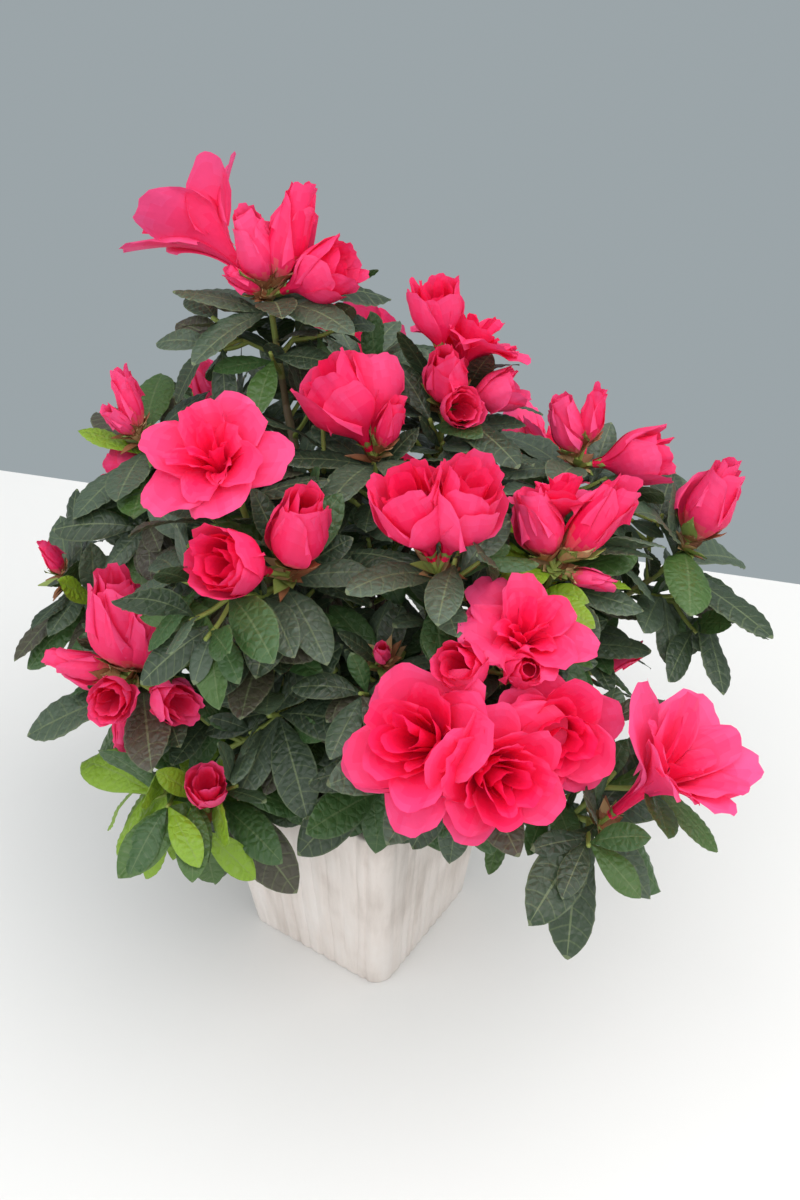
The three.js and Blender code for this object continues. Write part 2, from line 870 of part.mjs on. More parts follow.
const stemLeaves = (own, random, twig, leafLength) => {
  const lowest = pathLength(twig.path) * STEM_LEAVES.lowest;
  let turn = 360 * random();
  for (let back = STEM_LEAVES.fromTip; back < lowest; back += STEM_LEAVES.spacing) {
    turn += GOLDEN_TURN;
    growLeaf(own, random, twig, {
      back,
      turn,
      lean: within(STEM_LEAVES.lean, random),
      length: leafLength * within(STEM_LEAVES.size, random),
      outline: LEAF.plain,
    });
  }
};

const sideShoots = (own, random) => {
  let turn = 360 * random();
  for (let index = 0; index < own.spray.fill; index += 1) {
    const parent = own.twigs[index % own.twigs.length].path;
    const share = within(SIDE_SHOOTS.along, random);
    const root = pointAt(parent, share);
    const axis = headingAt(parent, share);
    const length = within(SIDE_SHOOTS.length, random);
    for (let attempt = 0; attempt < GROWTH.tries; attempt += 1) {
      turn += GOLDEN_TURN;
      const leaving = leaning(axis, 90, turn).addScaledVector(axis, SIDE_SHOOTS.forward).normalize();
      const arriving = leaving.clone().addScaledVector(UP, SIDE_SHOOTS.rise).normalize();
      const end = along(along(root, leaving, length * 0.55), arriving, length * 0.45);
      const path = bend(root, leaving, end, arriving, TWIG.sideSteps);
      const radii = taper(TWIG.sideRadius + 0.2, TWIG.sideRadius, TWIG.sideSteps);
      const twig = { path, radii, sides: 3, leaving, arriving };
      if (inOwnSpace(path, own) && isClear(limbShape(twig, SPACE.clear), own, ["twig"])) {
        const { leaves: count, leafLength, spread } = SIDE_SHOOTS;
        const start = 360 * random();
        own.shapes.push(limbShape(twig));
        take(limbShape(twig), own, "twig");
        whorl(own, random, twig, { count, leafLength, turn: start, spread, outline: LEAF.plain });
        break;
      }
    }
  }
};

// --------------------------------------------------------------------- blossom

// A bloom on its stalk: a bell with a lobed rim, hollow down to a valley round its heart.
const corolla = (tip, axis, parts, size, stalk) => {
  const throat = stalk + size * parts.tube;
  const valley = size * parts.throatAt + COROLLA.thickness;
  const lobed = (angle) => 1 + COROLLA.lobeDepth * Math.cos(COROLLA.lobes * angle);
  const ring = (at, radius, sides, shape) => circle(along(tip, axis, at), axis, radius, sides, shape);
  const outside = ring(throat + size * parts.throatAt, size * parts.throat, COROLLA.lobes);
  const rim = ring(throat + size * parts.rimAt, size * parts.rim, COROLLA.sides, lobed);
  const rings = [ring(-COROLLA.sunk, 0.6, 3), ring(throat, 2.3, COROLLA.lobes), outside, rim];
  if (parts.heart > 0) {
    rings.push(ring(throat + valley, size * parts.throat - COROLLA.thickness, COROLLA.lobes));
    rings.push(ring(throat + size * parts.heartAt * 0.8, size * parts.heart, COROLLA.lobes));
    rings.push([along(tip, axis, throat + size * parts.heartAt)]);
  } else {
    rings.push([along(tip, axis, throat + size * parts.throatAt * COROLLA.well)]);
  }
  return loft(rings);
};

const spindle = (tip, axis, { swell, waist }, size, stalk) =>
  loft([
    circle(along(tip, axis, -COROLLA.sunk), axis, 0.6, 3),
    circle(along(tip, axis, stalk + size * swell), axis, size * waist, 5),
    circle(along(tip, axis, stalk + size * 0.72), axis, size * waist * 0.85, 5),
    [along(tip, axis, stalk + size)],
  ]);

const tryBloom = (own, tip, { kind, heading, lift, size, stalk }) => {
  const axis = towards(heading, lift);
  const bloomOf = (grown) => {
    const shape = BLOOMS[kind].waist ? spindle : corolla;
    return shape(tip, axis, BLOOMS[kind], grown, stalk);
  };
  for (let attempt = 0; attempt < GROWTH.tries; attempt += 1) {
    const grown = size * (1 - GROWTH.shrink * attempt);
    if (isClear(bloomOf(grown + 2 * SPACE.clear), own, ["twig", "bloom"])) {
      own.shapes.push(bloomOf(grown));
      take(bloomOf(grown), own, "bloom");
      return;
    }
  }
};

// ------------------------------------------------------------------ the growth

take(trunkShape(SEAM), null, "limb");
Object.keys(SPRAYS).forEach((name) => take(limbShape(limbs[name], SEAM), null, "limb"));
crown.forEach((own) => own.twigs.forEach((twig) => take(limbShape(twig), own, "twig")));

const stages = [
  (own) => {
    own.spray.shoots.forEach(({ blooms }, order) => {
      const { path } = own.twigs[order];
      blooms.forEach((flower) => tryBloom(own, path[path.length - 1], flower));
    });
  },
  (own, random) => {
    own.spray.shoots.forEach(({ leaves: count, leafLength, turn }, order) => {
      const leafy = { count, leafLength, turn, spread: WHORL.spread, outline: LEAF.full };
      whorl(own, random, own.twigs[order], leafy);
    });
  },
  sideShoots,
  (own, random) => {
    own.spray.shoots.forEach(({ leafLength }, order) => {
      stemLeaves(own, random, own.twigs[order], leafLength);
    });
  },
];

stages.forEach((stage, round) => {
  crown.forEach((own, index) => stage(own, seeded(7001 + 97 * index + 13 * round)));
});

// -------------------------------------------------------------------- assembly

const azalea = new THREE.Group();
azalea.name = "potted_azalea";
azalea.add(meshOf("planter", solidOf(planterShape), COLOURS.planter, 0.75));
azalea.add(meshOf("soil", solidOf(soilShape), COLOURS.soil, 0.95));
azalea.add(meshOf("trunk", solidOf(trunkShape()), COLOURS.bark, 0.85));

const cutters = [solidOf(trunkShape(SEAM))];
crown.forEach(({ name }) => {
  const whole = solidOf(limbShape(limbs[name]));
  const clear = cutters.reduce((solid, cutter) => solid.subtract(cutter), whole);
  azalea.add(meshOf(`bough_${name}`, mainBody(clear), COLOURS.bark, 0.85));
  cutters.push(solidOf(limbShape(limbs[name], SEAM)));
});

crown.forEach(({ name, shapes }) => {
  azalea.add(meshOf(`foliage_${name}`, fuse(shapes), COLOURS.foliage, 0.6));
});

export default azalea;
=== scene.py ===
import json
import math
from collections import namedtuple
from functools import lru_cache

import bpy
import numpy as np
from bpy.props import FloatProperty, FloatVectorProperty, IntProperty, PointerProperty
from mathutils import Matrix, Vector, noise
from mathutils.bvhtree import BVHTree

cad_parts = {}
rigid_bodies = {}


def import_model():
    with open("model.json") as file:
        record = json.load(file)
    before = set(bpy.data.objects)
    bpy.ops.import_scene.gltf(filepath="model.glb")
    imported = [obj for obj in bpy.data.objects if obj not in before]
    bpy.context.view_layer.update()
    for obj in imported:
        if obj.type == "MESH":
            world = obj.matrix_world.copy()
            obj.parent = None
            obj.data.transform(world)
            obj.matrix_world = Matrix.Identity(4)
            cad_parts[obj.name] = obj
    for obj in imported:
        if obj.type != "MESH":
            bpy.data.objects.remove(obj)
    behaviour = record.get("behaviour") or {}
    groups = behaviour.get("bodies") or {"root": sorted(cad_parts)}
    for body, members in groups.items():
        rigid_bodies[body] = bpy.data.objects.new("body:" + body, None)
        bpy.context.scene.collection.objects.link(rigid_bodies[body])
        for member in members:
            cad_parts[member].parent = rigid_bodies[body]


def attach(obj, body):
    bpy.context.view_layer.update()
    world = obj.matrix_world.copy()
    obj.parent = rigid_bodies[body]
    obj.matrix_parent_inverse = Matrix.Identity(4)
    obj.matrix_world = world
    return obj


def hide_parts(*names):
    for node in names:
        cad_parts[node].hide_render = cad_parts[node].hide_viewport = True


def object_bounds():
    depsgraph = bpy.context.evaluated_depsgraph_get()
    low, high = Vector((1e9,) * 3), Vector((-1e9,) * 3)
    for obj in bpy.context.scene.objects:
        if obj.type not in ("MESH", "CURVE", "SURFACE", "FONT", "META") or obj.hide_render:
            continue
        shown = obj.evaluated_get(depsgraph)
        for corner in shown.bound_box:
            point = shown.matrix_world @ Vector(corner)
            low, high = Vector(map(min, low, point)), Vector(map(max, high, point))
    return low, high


bl_info = {
    "name": "Potted azalea",
    "version": (1, 0, 0),
    "blender": (4, 5, 0),
    "location": "3D View > Sidebar > Azalea",
    "description": "Builds a flowering azalea in a ribbed square planter over its packed solids",
    "category": "Add Mesh",
}

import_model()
CAD_BOX = [list(corner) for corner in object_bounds()]

MM = 0.001
UP = Vector((0, 0, 1))
BACK = Vector((0, 1, 0))
TURN = 2 * math.pi
GOLDEN_TURN = 137.5  # degrees from one leaf to the next up a shoot

# ----------------------------------------------------- sizes, in millimetres

PLANTER = {"height": 103, "foot_half": 36, "rim_half": 46, "corner": 9, "wall": 5}
SOIL = {"edge": 93, "crown": 95, "clear": 0.4}
SEAM = 0.3  # between a limb and what carries it
TRUNK = {
    "fork": 121, "foot_radius": 8.5, "neck_radius": 5.2, "top_radius": 4.3, "bevel": 1,
    "bevel_share": 0.7, "shoulder": 1.5, "flare_height": 8, "flare_ring": 0.35,
    "upper_ring": 0.65, "root_lobes": 3, "lobe_depth": 0.22, "lean_x": 1.5, "lean_y": 2.5,
    "sides": 9,
}
BOUGH = {
    "root_radius": 2.6, "tip_radius": 1.5, "side_share": 0.74, "outward": 0.9, "upward": 0.8,
    "forward": 0.7, "sides": 5, "steps": 4,
}
CURVE = {"leaving": 0.38, "arriving": 0.34}  # how far a limb holds each direction
TWIG = {
    "root_radius": 1.8, "tip_radius": 1.4, "side_radius": 1.2, "fine_radius": 0.8,
    "root_extra": 0.2, "rise": 0.55, "out_share": 0.55, "up_share": 0.45, "steps": 3,
    "side_steps": 2, "sides": 3,
}
LEAF = {
    "width_share": 0.4, "keel_share": 1 / 42, "thinnest": 0.7, "full": ([0.5, 0.8], [0.9, 0.88]),
    "plain": ([0.62], [1]), "root_depth": 0.3, "test_from": 0.16,
}
GROWTH = {"droop": (0.3, 0.8), "look_up": 1.2, "tries": 5, "shrink": 0.12, "lift": 0.3}
WHORL = {"from_tip": 1.2, "depth": 9, "spread": 72, "scatter": (-12, 12), "size": (0.84, 1.14)}
STEM_LEAVES = {"from_tip": 13, "spacing": 9, "lowest": 0.72, "lean": (58, 78), "size": (0.74, 1.04)}
SIDE_SHOOTS = {
    "along": (0.3, 0.75), "length": (20, 34), "forward": 0.55, "rise": 0.5, "leaves": 5,
    "leaf_length": 36, "spread": 66,
}
FINE_SHOOTS = {
    "along": (0.15, 0.85), "length": (12, 24), "forward": 0.7, "rise": 0.5, "leaves": 5,
    "leaf_length": 30, "spread": 60,
}
BOUGH_SHOOTS = {**FINE_SHOOTS, "along": (0.4, 0.98), "length": (14, 30)}
FILLING = {"twig_spacing": 3, "shoot_spacing": 4, "shoot_share": 0.8}
SPACE = {"clear": 0.7, "reach_over": 12, "from_planter": 1.6}
FINE_SPACE = {"clear": 0.25, "reach_over": 24}
GROWTH_SEEDS = {"first": 7001, "next_spray": 97, "next_round": 13}

# A bloom's tube, throat, rim and heart as shares of its size, or the widest place of a
# bud or a half-open flower.
BLOOMS = {
    "open": {"tube": 0.3, "throat": 0.42, "throat_at": 0.34, "rim": 1.0, "rim_at": 0.42,
             "heart": 0.4, "heart_at": 0.66},
    "funnel": {"tube": 0.5, "throat": 0.34, "throat_at": 0.5, "rim": 0.78, "rim_at": 0.98,
               "heart": 0, "heart_at": 0},
    "rose": {"tube": 0.24, "throat": 0.6, "throat_at": 0.34, "rim": 0.98, "rim_at": 0.66,
             "heart": 0.5, "heart_at": 0.86},
    "cup": {"tube": 0.2, "throat": 0.42, "throat_at": 0.42, "rim": 0.4, "rim_at": 1.0,
            "heart": 0, "heart_at": 0},
    "half": {"swell": 0.42, "waist": 0.29},
    "bud": {"swell": 0.32, "waist": 0.2},
}
COROLLA = {
    "lobes": 5, "sides": 10, "lobe_depth": 0.16, "thickness": 1.1, "well": 0.85,
    "heart_foot": 0.8, "neck_radius": 2.3,
}
SPINDLE = {"sides": 5, "shoulder": 0.72, "shoulder_share": 0.85}
BLOOM_ROOT = {"sunk": 0.9, "radius": 0.6, "sides": 3}

Bloom = namedtuple("Bloom", "kind heading lift size stalk")
Shoot = namedtuple("Shoot", "heading reach height leaves leaf_length turn blooms", defaults=[()])
Plan = namedtuple("Plan", "parent along stem rise fill shoots")

# Every spray of the crown: the limb that its bough leaves and how far along that limb, the
# length of its stem back from the shoots' tips, the rise of that stem, how many leafy side
# shoots fill it, and its main shoots by heading, reach and height above the ground, their
# leaves, the turn of their whorl and their blooms.
SPRAYS = {
    "crest": Plan(
        parent="trunk", along=0.97, stem=42, rise=0.9, fill=2,
        shoots=[
            Shoot(151, 68, 270, 7, 44, 10, [
                Bloom("funnel", 180, 33, 34, 4),
                Bloom("half", 196, 76, 31, 4),
                Bloom("bud", 50, 70, 41, 5),
                Bloom("bud", 235, 40, 19, 3),
                Bloom("cup", 20, 30, 25, 6),
            ]),
        ],
    ),
    "centre_top": Plan(
        parent="trunk", along=0.99, stem=36, rise=1.2, fill=2,
        shoots=[
            Shoot(94, 17, 228, 7, 38, 40, [
                Bloom("cup", 200, 62, 30, 4),
                Bloom("cup", 130, 62, 25, 7),
                Bloom("bud", 34, 70, 24, 4),
            ]),
        ],
    ),
    "front_right": Plan(
        parent="trunk", along=0.9, stem=44, rise=0.5, fill=1,
        shoots=[
            Shoot(330, 86, 170, 6, 42, 0, [
                Bloom("rose", 262, 44, 28, 10),
                Bloom("rose", 330, 22, 27, 11),
            ]),
            Shoot(349, 90, 172, 5, 40, 30, [Bloom("rose", 318, 28, 25, 9)]),
            Shoot(350, 76, 182, 3, 38, 30, [
                Bloom("open", 336, 72, 24, 11),
                Bloom("cup", 268, 40, 19, 22),
                Bloom("half", 312, 43, 22, 22),
            ]),
        ],
    ),
    "right_outer": Plan(
        parent="trunk", along=0.84, stem=46, rise=0.35, fill=2,
        shoots=[Shoot(42, 129, 185, 7, 50, 20, [Bloom("half", 58, 66, 36, 4)])],
    ),
    "right_upper": Plan(
        parent="trunk", along=0.94, stem=42, rise=0.7, fill=2,
        shoots=[
            Shoot(56, 93, 212, 7, 40, 45, [
                Bloom("half", 190, 72, 26, 5),
                Bloom("bud", 70, 76, 25, 9),
                Bloom("cup", 26, 14, 24, 6),
            ]),
        ],
    ),
    "left_upper": Plan(
        parent="trunk", along=0.87, stem=44, rise=0.6, fill=2,
        shoots=[
            Shoot(189, 90, 222, 7, 45, 0, [
                Bloom("bud", 170, 76, 27, 3),
                Bloom("bud", 240, 55, 15, 3),
            ]),
            Shoot(184, 80, 204, 5, 38, 50, [Bloom("cup", 214, 12, 18, 6)]),
        ],
    ),
    "low_left": Plan(
        parent="trunk", along=0.78, stem=40, rise=0.35, fill=2,
        shoots=[
            Shoot(234, 87, 160, 7, 48, 30, [
                Bloom("half", 150, 84, 43, 5),
                Bloom("half", 30, 74, 37, 6),
                Bloom("bud", 214, 20, 28, 5),
                Bloom("cup", 300, 26, 15, 12),
                Bloom("cup", 346, 16, 15, 15),
                Bloom("bud", 296, -38, 20, 8),
            ]),
        ],
    ),
    "back_right": Plan(
        parent="trunk", along=0.81, stem=42, rise=0.4, fill=3,
        shoots=[
            Shoot(84, 110, 166, 6, 42, 0, [
                Bloom("rose", 70, 34, 25, 8),
                Bloom("cup", 124, 22, 27, 7),
            ]),
        ],
    ),
    "back_left": Plan(
        parent="crest", along=0.3, stem=40, rise=0.5, fill=2,
        shoots=[
            Shoot(154, 118, 192, 7, 42, 25, [
                Bloom("bud", 200, 76, 26, 5),
                Bloom("open", 148, -18, 22, 8),
            ]),
        ],
    ),
    "back_top": Plan(
        parent="crest", along=0.5, stem=36, rise=0.7, fill=2,
        shoots=[Shoot(124, 112, 210, 7, 38, 0, [Bloom("rose", 128, 16, 22, 6)])],
    ),
    "upper_middle": Plan(
        parent="centre_top", along=0.42, stem=34, rise=1, fill=2,
        shoots=[
            Shoot(82, 52, 235, 6, 40, 20, [
                Bloom("open", 80, 60, 24, 11),
                Bloom("cup", 200, 84, 22, 24),
                Bloom("half", 300, 70, 29, 4),
                Bloom("cup", 320, 30, 15, 5),
                Bloom("cup", 26, 24, 15, 8),
            ]),
        ],
    ),
    "left_centre": Plan(
        parent="low_left", along=0.34, stem=34, rise=0.9, fill=2,
        shoots=[
            Shoot(275, 43, 214, 6, 38, 20, [
                Bloom("half", 346, 71, 37, 7),
                Bloom("cup", 262, 36, 27, 10),
            ]),
            Shoot(240, 42, 234, 2, 32, 50, [Bloom("open", 272, 62, 26, 8)]),
        ],
    ),
    "centre": Plan(
        parent="front_right", along=0.32, stem=36, rise=1, fill=2,
        shoots=[
            Shoot(341, 51, 217, 6, 40, 0, [
                Bloom("cup", 236, 72, 30, 7),
                Bloom("cup", 20, 74, 30, 7),
            ]),
        ],
    ),
    "centre_right": Plan(
        parent="right_outer", along=0.38, stem=32, rise=0.9, fill=2,
        shoots=[
            Shoot(15, 76, 207, 6, 38, 10, [
                Bloom("bud", 44, 53, 39, 5),
                Bloom("half", 198, 70, 30, 5),
                Bloom("rose", 120, 62, 17, 14),
                Bloom("bud", 14, -4, 15, 5),
            ]),
        ],
    ),
    "low_right": Plan(
        parent="front_right", along=0.52, stem=40, rise=0.1, fill=2,
        shoots=[Shoot(350, 122, 142, 8, 44, 5, [Bloom("funnel", 24, 56, 34, 5)])],
    ),
    "left_outer": Plan(
        parent="left_upper", along=0.45, stem=44, rise=0.25, fill=2,
        shoots=[
            Shoot(203, 117, 165, 7, 36, 12, [Bloom("bud", 214, 72, 18, 4)]),
            Shoot(196, 92, 178, 6, 38, 40),
        ],
    ),
    "bottom_left": Plan(
        parent="low_left", along=0.5, stem=34, rise=-0.05, fill=2,
        shoots=[
            Shoot(250, 92, 123, 6, 40, 0),
            Shoot(258, 76, 114, 7, 46, 15, [Bloom("cup", 318, 64, 15, 14)]),
        ],
    ),
    "front_left": Plan(
        parent="low_left", along=0.2, stem=28, rise=0.7, fill=1,
        shoots=[
            Shoot(272, 56, 158, 7, 44, 10),
            Shoot(259, 48, 182, 5, 40, 30),
            Shoot(296, 38, 172, 6, 42, 0),
        ],
    ),
    "front_low": Plan(
        parent="front_right", along=0.2, stem=30, rise=0.1, fill=1,
        shoots=[
            Shoot(316, 62, 132, 7, 42, 20),
            Shoot(318, 48, 182, 6, 36, 0, [Bloom("bud", 304, 60, 13, 3)]),
        ],
    ),
    "right_low": Plan(
        parent="right_outer", along=0.25, stem=36, rise=0.1, fill=3,
        shoots=[Shoot(32, 86, 138, 6, 42, 0, [Bloom("bud", 40, 24, 25, 6)])],
    ),
    "back_low_left": Plan(
        parent="back_left", along=0.28, stem=36, rise=0.1, fill=3,
        shoots=[
            Shoot(168, 98, 146, 6, 42, 0, [
                Bloom("rose", 164, 24, 23, 8),
                Bloom("bud", 216, 30, 26, 6),
            ]),
        ],
    ),
    "back_low": Plan(
        parent="back_right", along=0.3, stem=38, rise=0.1, fill=3,
        shoots=[
            Shoot(120, 100, 142, 6, 42, 0, [
                Bloom("open", 120, 22, 24, 8),
                Bloom("bud", 68, 24, 27, 7),
            ]),
        ],
    ),
}

# ----------------------------------------------------------------- small tools

STREAM_FACTOR, STREAM_MODULUS = 16807, 2147483647
PARALLEL = 0.05  # two directions whose cross product is shorter have no side of their own
SPARE_REFERENCE = Vector((1, 0.2, 0))
STEEP = 0.8  # a direction that rises or falls more isn't measured from upright


def mix(a, b, share):
    return a + (b - a) * share


def seeded(seed):
    """A repeatable stream of numbers between 0 and 1."""
    state = seed

    def draw():
        nonlocal state
        state = state * STREAM_FACTOR % STREAM_MODULUS
        return state / STREAM_MODULUS

    return draw


def within(span, random):
    return mix(span[0], span[1], random())


def towards(heading, lift):
    """The direction at a heading round the plant and a lift above level, in degrees."""
    flat = math.cos(math.radians(lift))
    turn = math.radians(heading)
    return Vector((flat * math.cos(turn), flat * math.sin(turn), math.sin(math.radians(lift))))


def across(direction, reference):
    """A direction square to both of these, or to the first alone if they nearly agree."""
    side = direction.cross(reference)
    if side.length < PARALLEL:
        side = direction.cross(SPARE_REFERENCE)
    return side.normalized()


def square_to(direction):
    """Two directions square to this one and to each other."""
    side = across(direction, BACK if abs(direction.z) > STEEP else UP)
    return side, side.cross(direction)


def bend(start, leaving, end, arriving, steps):
    """An even curve between two places that leaves and arrives in the given directions."""
    length = (end - start).length
    near = start + leaving * (length * CURVE["leaving"])
    far = end - arriving * (length * CURVE["arriving"])
    path = []
    for step in range(steps + 1):
        t = step / steps
        s = 1 - t
        path.append(start * s**3 + near * (3 * s * s * t) + far * (3 * s * t * t) + end * t**3)
    return path


def stretch_at(path, share):
    """The stretch of a path that a share of it falls in, and how far into that stretch."""
    place = share * (len(path) - 1)
    step = max(0, min(int(place), len(path) - 2))
    return path[step], path[step + 1], place - step


def point_at(path, share):
    start, end, into = stretch_at(path, share)
    return start.lerp(end, into)


def heading_at(path, share):
    start, end, _ = stretch_at(path, share)
    return (end - start).normalized()


def path_length(path):
    return sum((b - a).length for a, b in zip(path, path[1:]))


def taper(start, end, steps):
    return [mix(start, end, step / steps) for step in range(steps + 1)]


class Limb:
    """A tapering limb: its course, its radii and the directions in which it leaves and ends."""

    def __init__(self, path, radii, sides=TWIG["sides"], leaving=None, arriving=None):
        self.path = path
        self.radii = radii
        self.sides = sides
        self.leaving = leaving or heading_at(path, 0)
        self.arriving = arriving or heading_at(path, 1)

    def frames(self):
        """Its direction at each point, with two axes square to it that don't twist."""
        last = len(self.path) - 1
        side = across(self.leaving, UP)
        frames = []
        for step in range(last + 1):
            direction = self.path[min(step + 1, last)] - self.path[max(step - 1, 0)]
            if step in (0, last):
                direction = self.arriving if step else self.leaving
            direction = direction.normalized()
            side = (side - direction * side.dot(direction)).normalized()
            frames.append((direction, side, direction.cross(side)))
        return frames

    def shape(self, extra=0):
        """Its points and faces as it is tested, thicker all round by an extra."""
        rings = []
        for centre, radius, (_, side, lift) in zip(self.path, self.radii, self.frames()):
            rings.append([
                centre
                + side * ((radius + extra) * math.cos(TURN * index / self.sides))
                + lift * ((radius + extra) * math.sin(TURN * index / self.sides))
                for index in range(self.sides)
            ])
        return loft(rings)


def loft(rings):
    """The points and faces of a closed form through rings of points; one point is an apex."""
    points = [point for ring in rings for point in ring]
    starts = [sum(len(ring) for ring in rings[:step]) for step in range(len(rings))]
    faces = []
    for step in range(len(rings) - 1):
        near, far = len(rings[step]), len(rings[step + 1])
        count = max(near, far)
        for index in range(count):
            after = (index + 1) % count
            face = (
                starts[step] + index * near // count,
                starts[step] + after * near // count,
                starts[step + 1] + after * far // count,
                starts[step + 1] + index * far // count,
            )
            faces.append(list(dict.fromkeys(face)))
    for ring, start in ((rings[0], starts[0]), (rings[-1], starts[-1])):
        if len(ring) > 2:
            faces.append(list(range(start, start + len(ring))))
    return points, faces


def circle(centre, direction, radius, sides, swell=None):
    """A ring of points round a direction, with its radius changed by the angle if asked."""
    side, lift = square_to(direction)
    ring = []
    for index in range(sides):
        angle = TURN * index / sides
        reach = radius * (swell(angle) if swell else 1)
        ring.append(centre + side * (reach * math.cos(angle)) + lift * (reach * math.sin(angle)))
    return ring


def planter_half(height):
    """Half the planter's width at a height, before its ribs."""
    return mix(PLANTER["foot_half"], PLANTER["rim_half"], height / PLANTER["height"])


# --------------------------------------------------------------- trunk, boughs

TRUNK_FOOT = SOIL["crown"] + SEAM


def trunk_centre(height):
    share = (height - TRUNK_FOOT) / (TRUNK["fork"] - TRUNK_FOOT)
    return Vector((TRUNK["lean_x"] * share, TRUNK["lean_y"] * share, height))


def trunk_flare(height):
    """How much of the root flare is left at a height: 1 at the foot, 0 above the flare."""
    return max(0, 1 - (height - TRUNK_FOOT) / TRUNK["flare_height"])


def trunk_radius(height):
    if height > TRUNK["fork"] - TRUNK["bevel"]:
        return TRUNK["top_radius"] * TRUNK["bevel_share"]
    share = (height - TRUNK_FOOT) / (TRUNK["fork"] - TRUNK_FOOT)
    plain = mix(TRUNK["neck_radius"], TRUNK["top_radius"], share)
    return mix(plain, TRUNK["foot_radius"], trunk_flare(height) ** 2)


def trunk_lobes(height, angle):
    """How far the roots swell the trunk there, as a factor of its radius."""
    swell = TRUNK["lobe_depth"] * trunk_flare(height)
    return 1 + swell * math.cos(TRUNK["root_lobes"] * angle)


TRUNK_HEIGHTS = [
    TRUNK_FOOT,
    TRUNK_FOOT + TRUNK["flare_height"] * TRUNK["flare_ring"],
    TRUNK_FOOT + TRUNK["flare_height"],
    mix(TRUNK_FOOT, TRUNK["fork"], TRUNK["upper_ring"]),
    TRUNK["fork"] - TRUNK["shoulder"],
    TRUNK["fork"],
]


def trunk_shape(extra):
    return loft([
        circle(
            trunk_centre(height),
            UP,
            trunk_radius(height) + extra,
            TRUNK["sides"],
            lambda angle, height=height: trunk_lobes(height, angle),
        )
        for height in TRUNK_HEIGHTS
    ])


class Spray:
    """One mass of foliage: its bough, its main twigs, and what has grown on them."""

    def __init__(self, name, plan, limbs):
        self.name = name
        self.plan = plan
        parent = limbs[plan.parent]
        root = point_at(parent.path, plan.along)
        tips = [
            towards(each.heading, 0) * each.reach + UP * each.height
            for each in plan.shoots
        ]
        middle = sum(tips, Vector()) / len(tips)
        outward = (middle - root).normalized()
        direction = (outward + UP * plan.rise).normalized()
        end = middle - direction * plan.stem
        flat = Vector((outward.x, outward.y, 0))
        leaving = (flat * BOUGH["outward"] + UP * BOUGH["upward"]).normalized()
        thick = 1
        if plan.parent != "trunk":
            thick = BOUGH["side_share"]
            forward = heading_at(parent.path, plan.along) * BOUGH["forward"]
            leaving = ((end - root).normalized() + forward).normalized()
        steps = BOUGH["steps"]
        radii = taper(BOUGH["root_radius"] * thick, BOUGH["tip_radius"] * math.sqrt(thick), steps)
        path = bend(root, leaving, end, direction, steps)
        self.bough = Limb(path, radii, BOUGH["sides"], leaving, direction)
        limbs[name] = self.bough
        foot = end + direction * SEAM
        self.twigs = []
        for tip in tips:
            rising = ((tip - foot).normalized() + UP * TWIG["rise"]).normalized()
            path = bend(foot, direction, tip, rising, TWIG["steps"])
            radii = taper(TWIG["root_radius"], TWIG["tip_radius"], TWIG["steps"])
            self.twigs.append(Limb(path, radii, TWIG["sides"], direction, rising))


# ---------------------------------------------------------------- leaf shapes


def leaf_course(root, direction, length, droop, stations):
    """A leaf's places and headings at stations along it, as it droops towards its tip."""
    course, place, last = [], root, 0
    for station in stations:
        heading = (direction - UP * (droop * station)).normalized()
        place = place + heading * ((station - last) * length)
        last = station
        course.append((place, heading))
    return course


class Leaf:
    """A leaf as it is tested: its form, the room that it needs and the marks on its edge."""

    def __init__(self, root, direction, facing, length, droop, outline, clear):
        self.root, self.direction, self.facing = root, direction, facing
        self.length, self.droop = length, droop
        stations, widths = LEAF[outline]
        side = across(direction, facing)
        half = length * LEAF["width_share"] / 2
        keel = max(LEAF["thinnest"], length * LEAF["keel_share"])
        test = LEAF["test_from"]
        course = leaf_course(root, direction, length, droop, [test, *stations, 1])
        rings, room = [], []
        for (place, heading), share in zip(course, [test, *widths, 0]):
            above = side.cross(heading)
            reach = half * share
            wide = reach + clear
            room.append([
                place - side * wide,
                place + above * clear,
                place + side * wide,
                place - above * (keel + clear),
            ])
            rings.append([place - side * reach, place + side * reach, place - above * keel])
        self.shape = loft([[root], *rings[1:-1], [course[-1][0]]])
        self.room = loft(room)
        self.marks = [ring[0] for ring in rings[1:]] + [ring[1] for ring in rings[1:]]


def leaning(axis, lean, turn):
    """A direction that leans from a twig's axis, turned round it from its level side."""
    side = across(axis, UP)
    lift = side.cross(axis)
    lean, turn = math.radians(lean), math.radians(turn)
    flat = side * (math.sin(lean) * math.cos(turn)) + lift * (math.sin(lean) * math.sin(turn))
    return axis * math.cos(lean) + flat


def root_under(twig, share, direction):
    """A place inside a twig, behind the middle of the face that a leaf leaves by."""
    _, side, lift = twig.frames()[int(share * (len(twig.path) - 1) + 0.5)]
    faces = [
        side * math.cos(math.radians(angle)) + lift * math.sin(math.radians(angle))
        for angle in (60, 180, 300)
    ]
    face = max(faces, key=lambda each: each.dot(direction))
    radius = mix(twig.radii[0], twig.radii[-1], share)
    return point_at(twig.path, share) - face * (radius * LEAF["root_depth"])


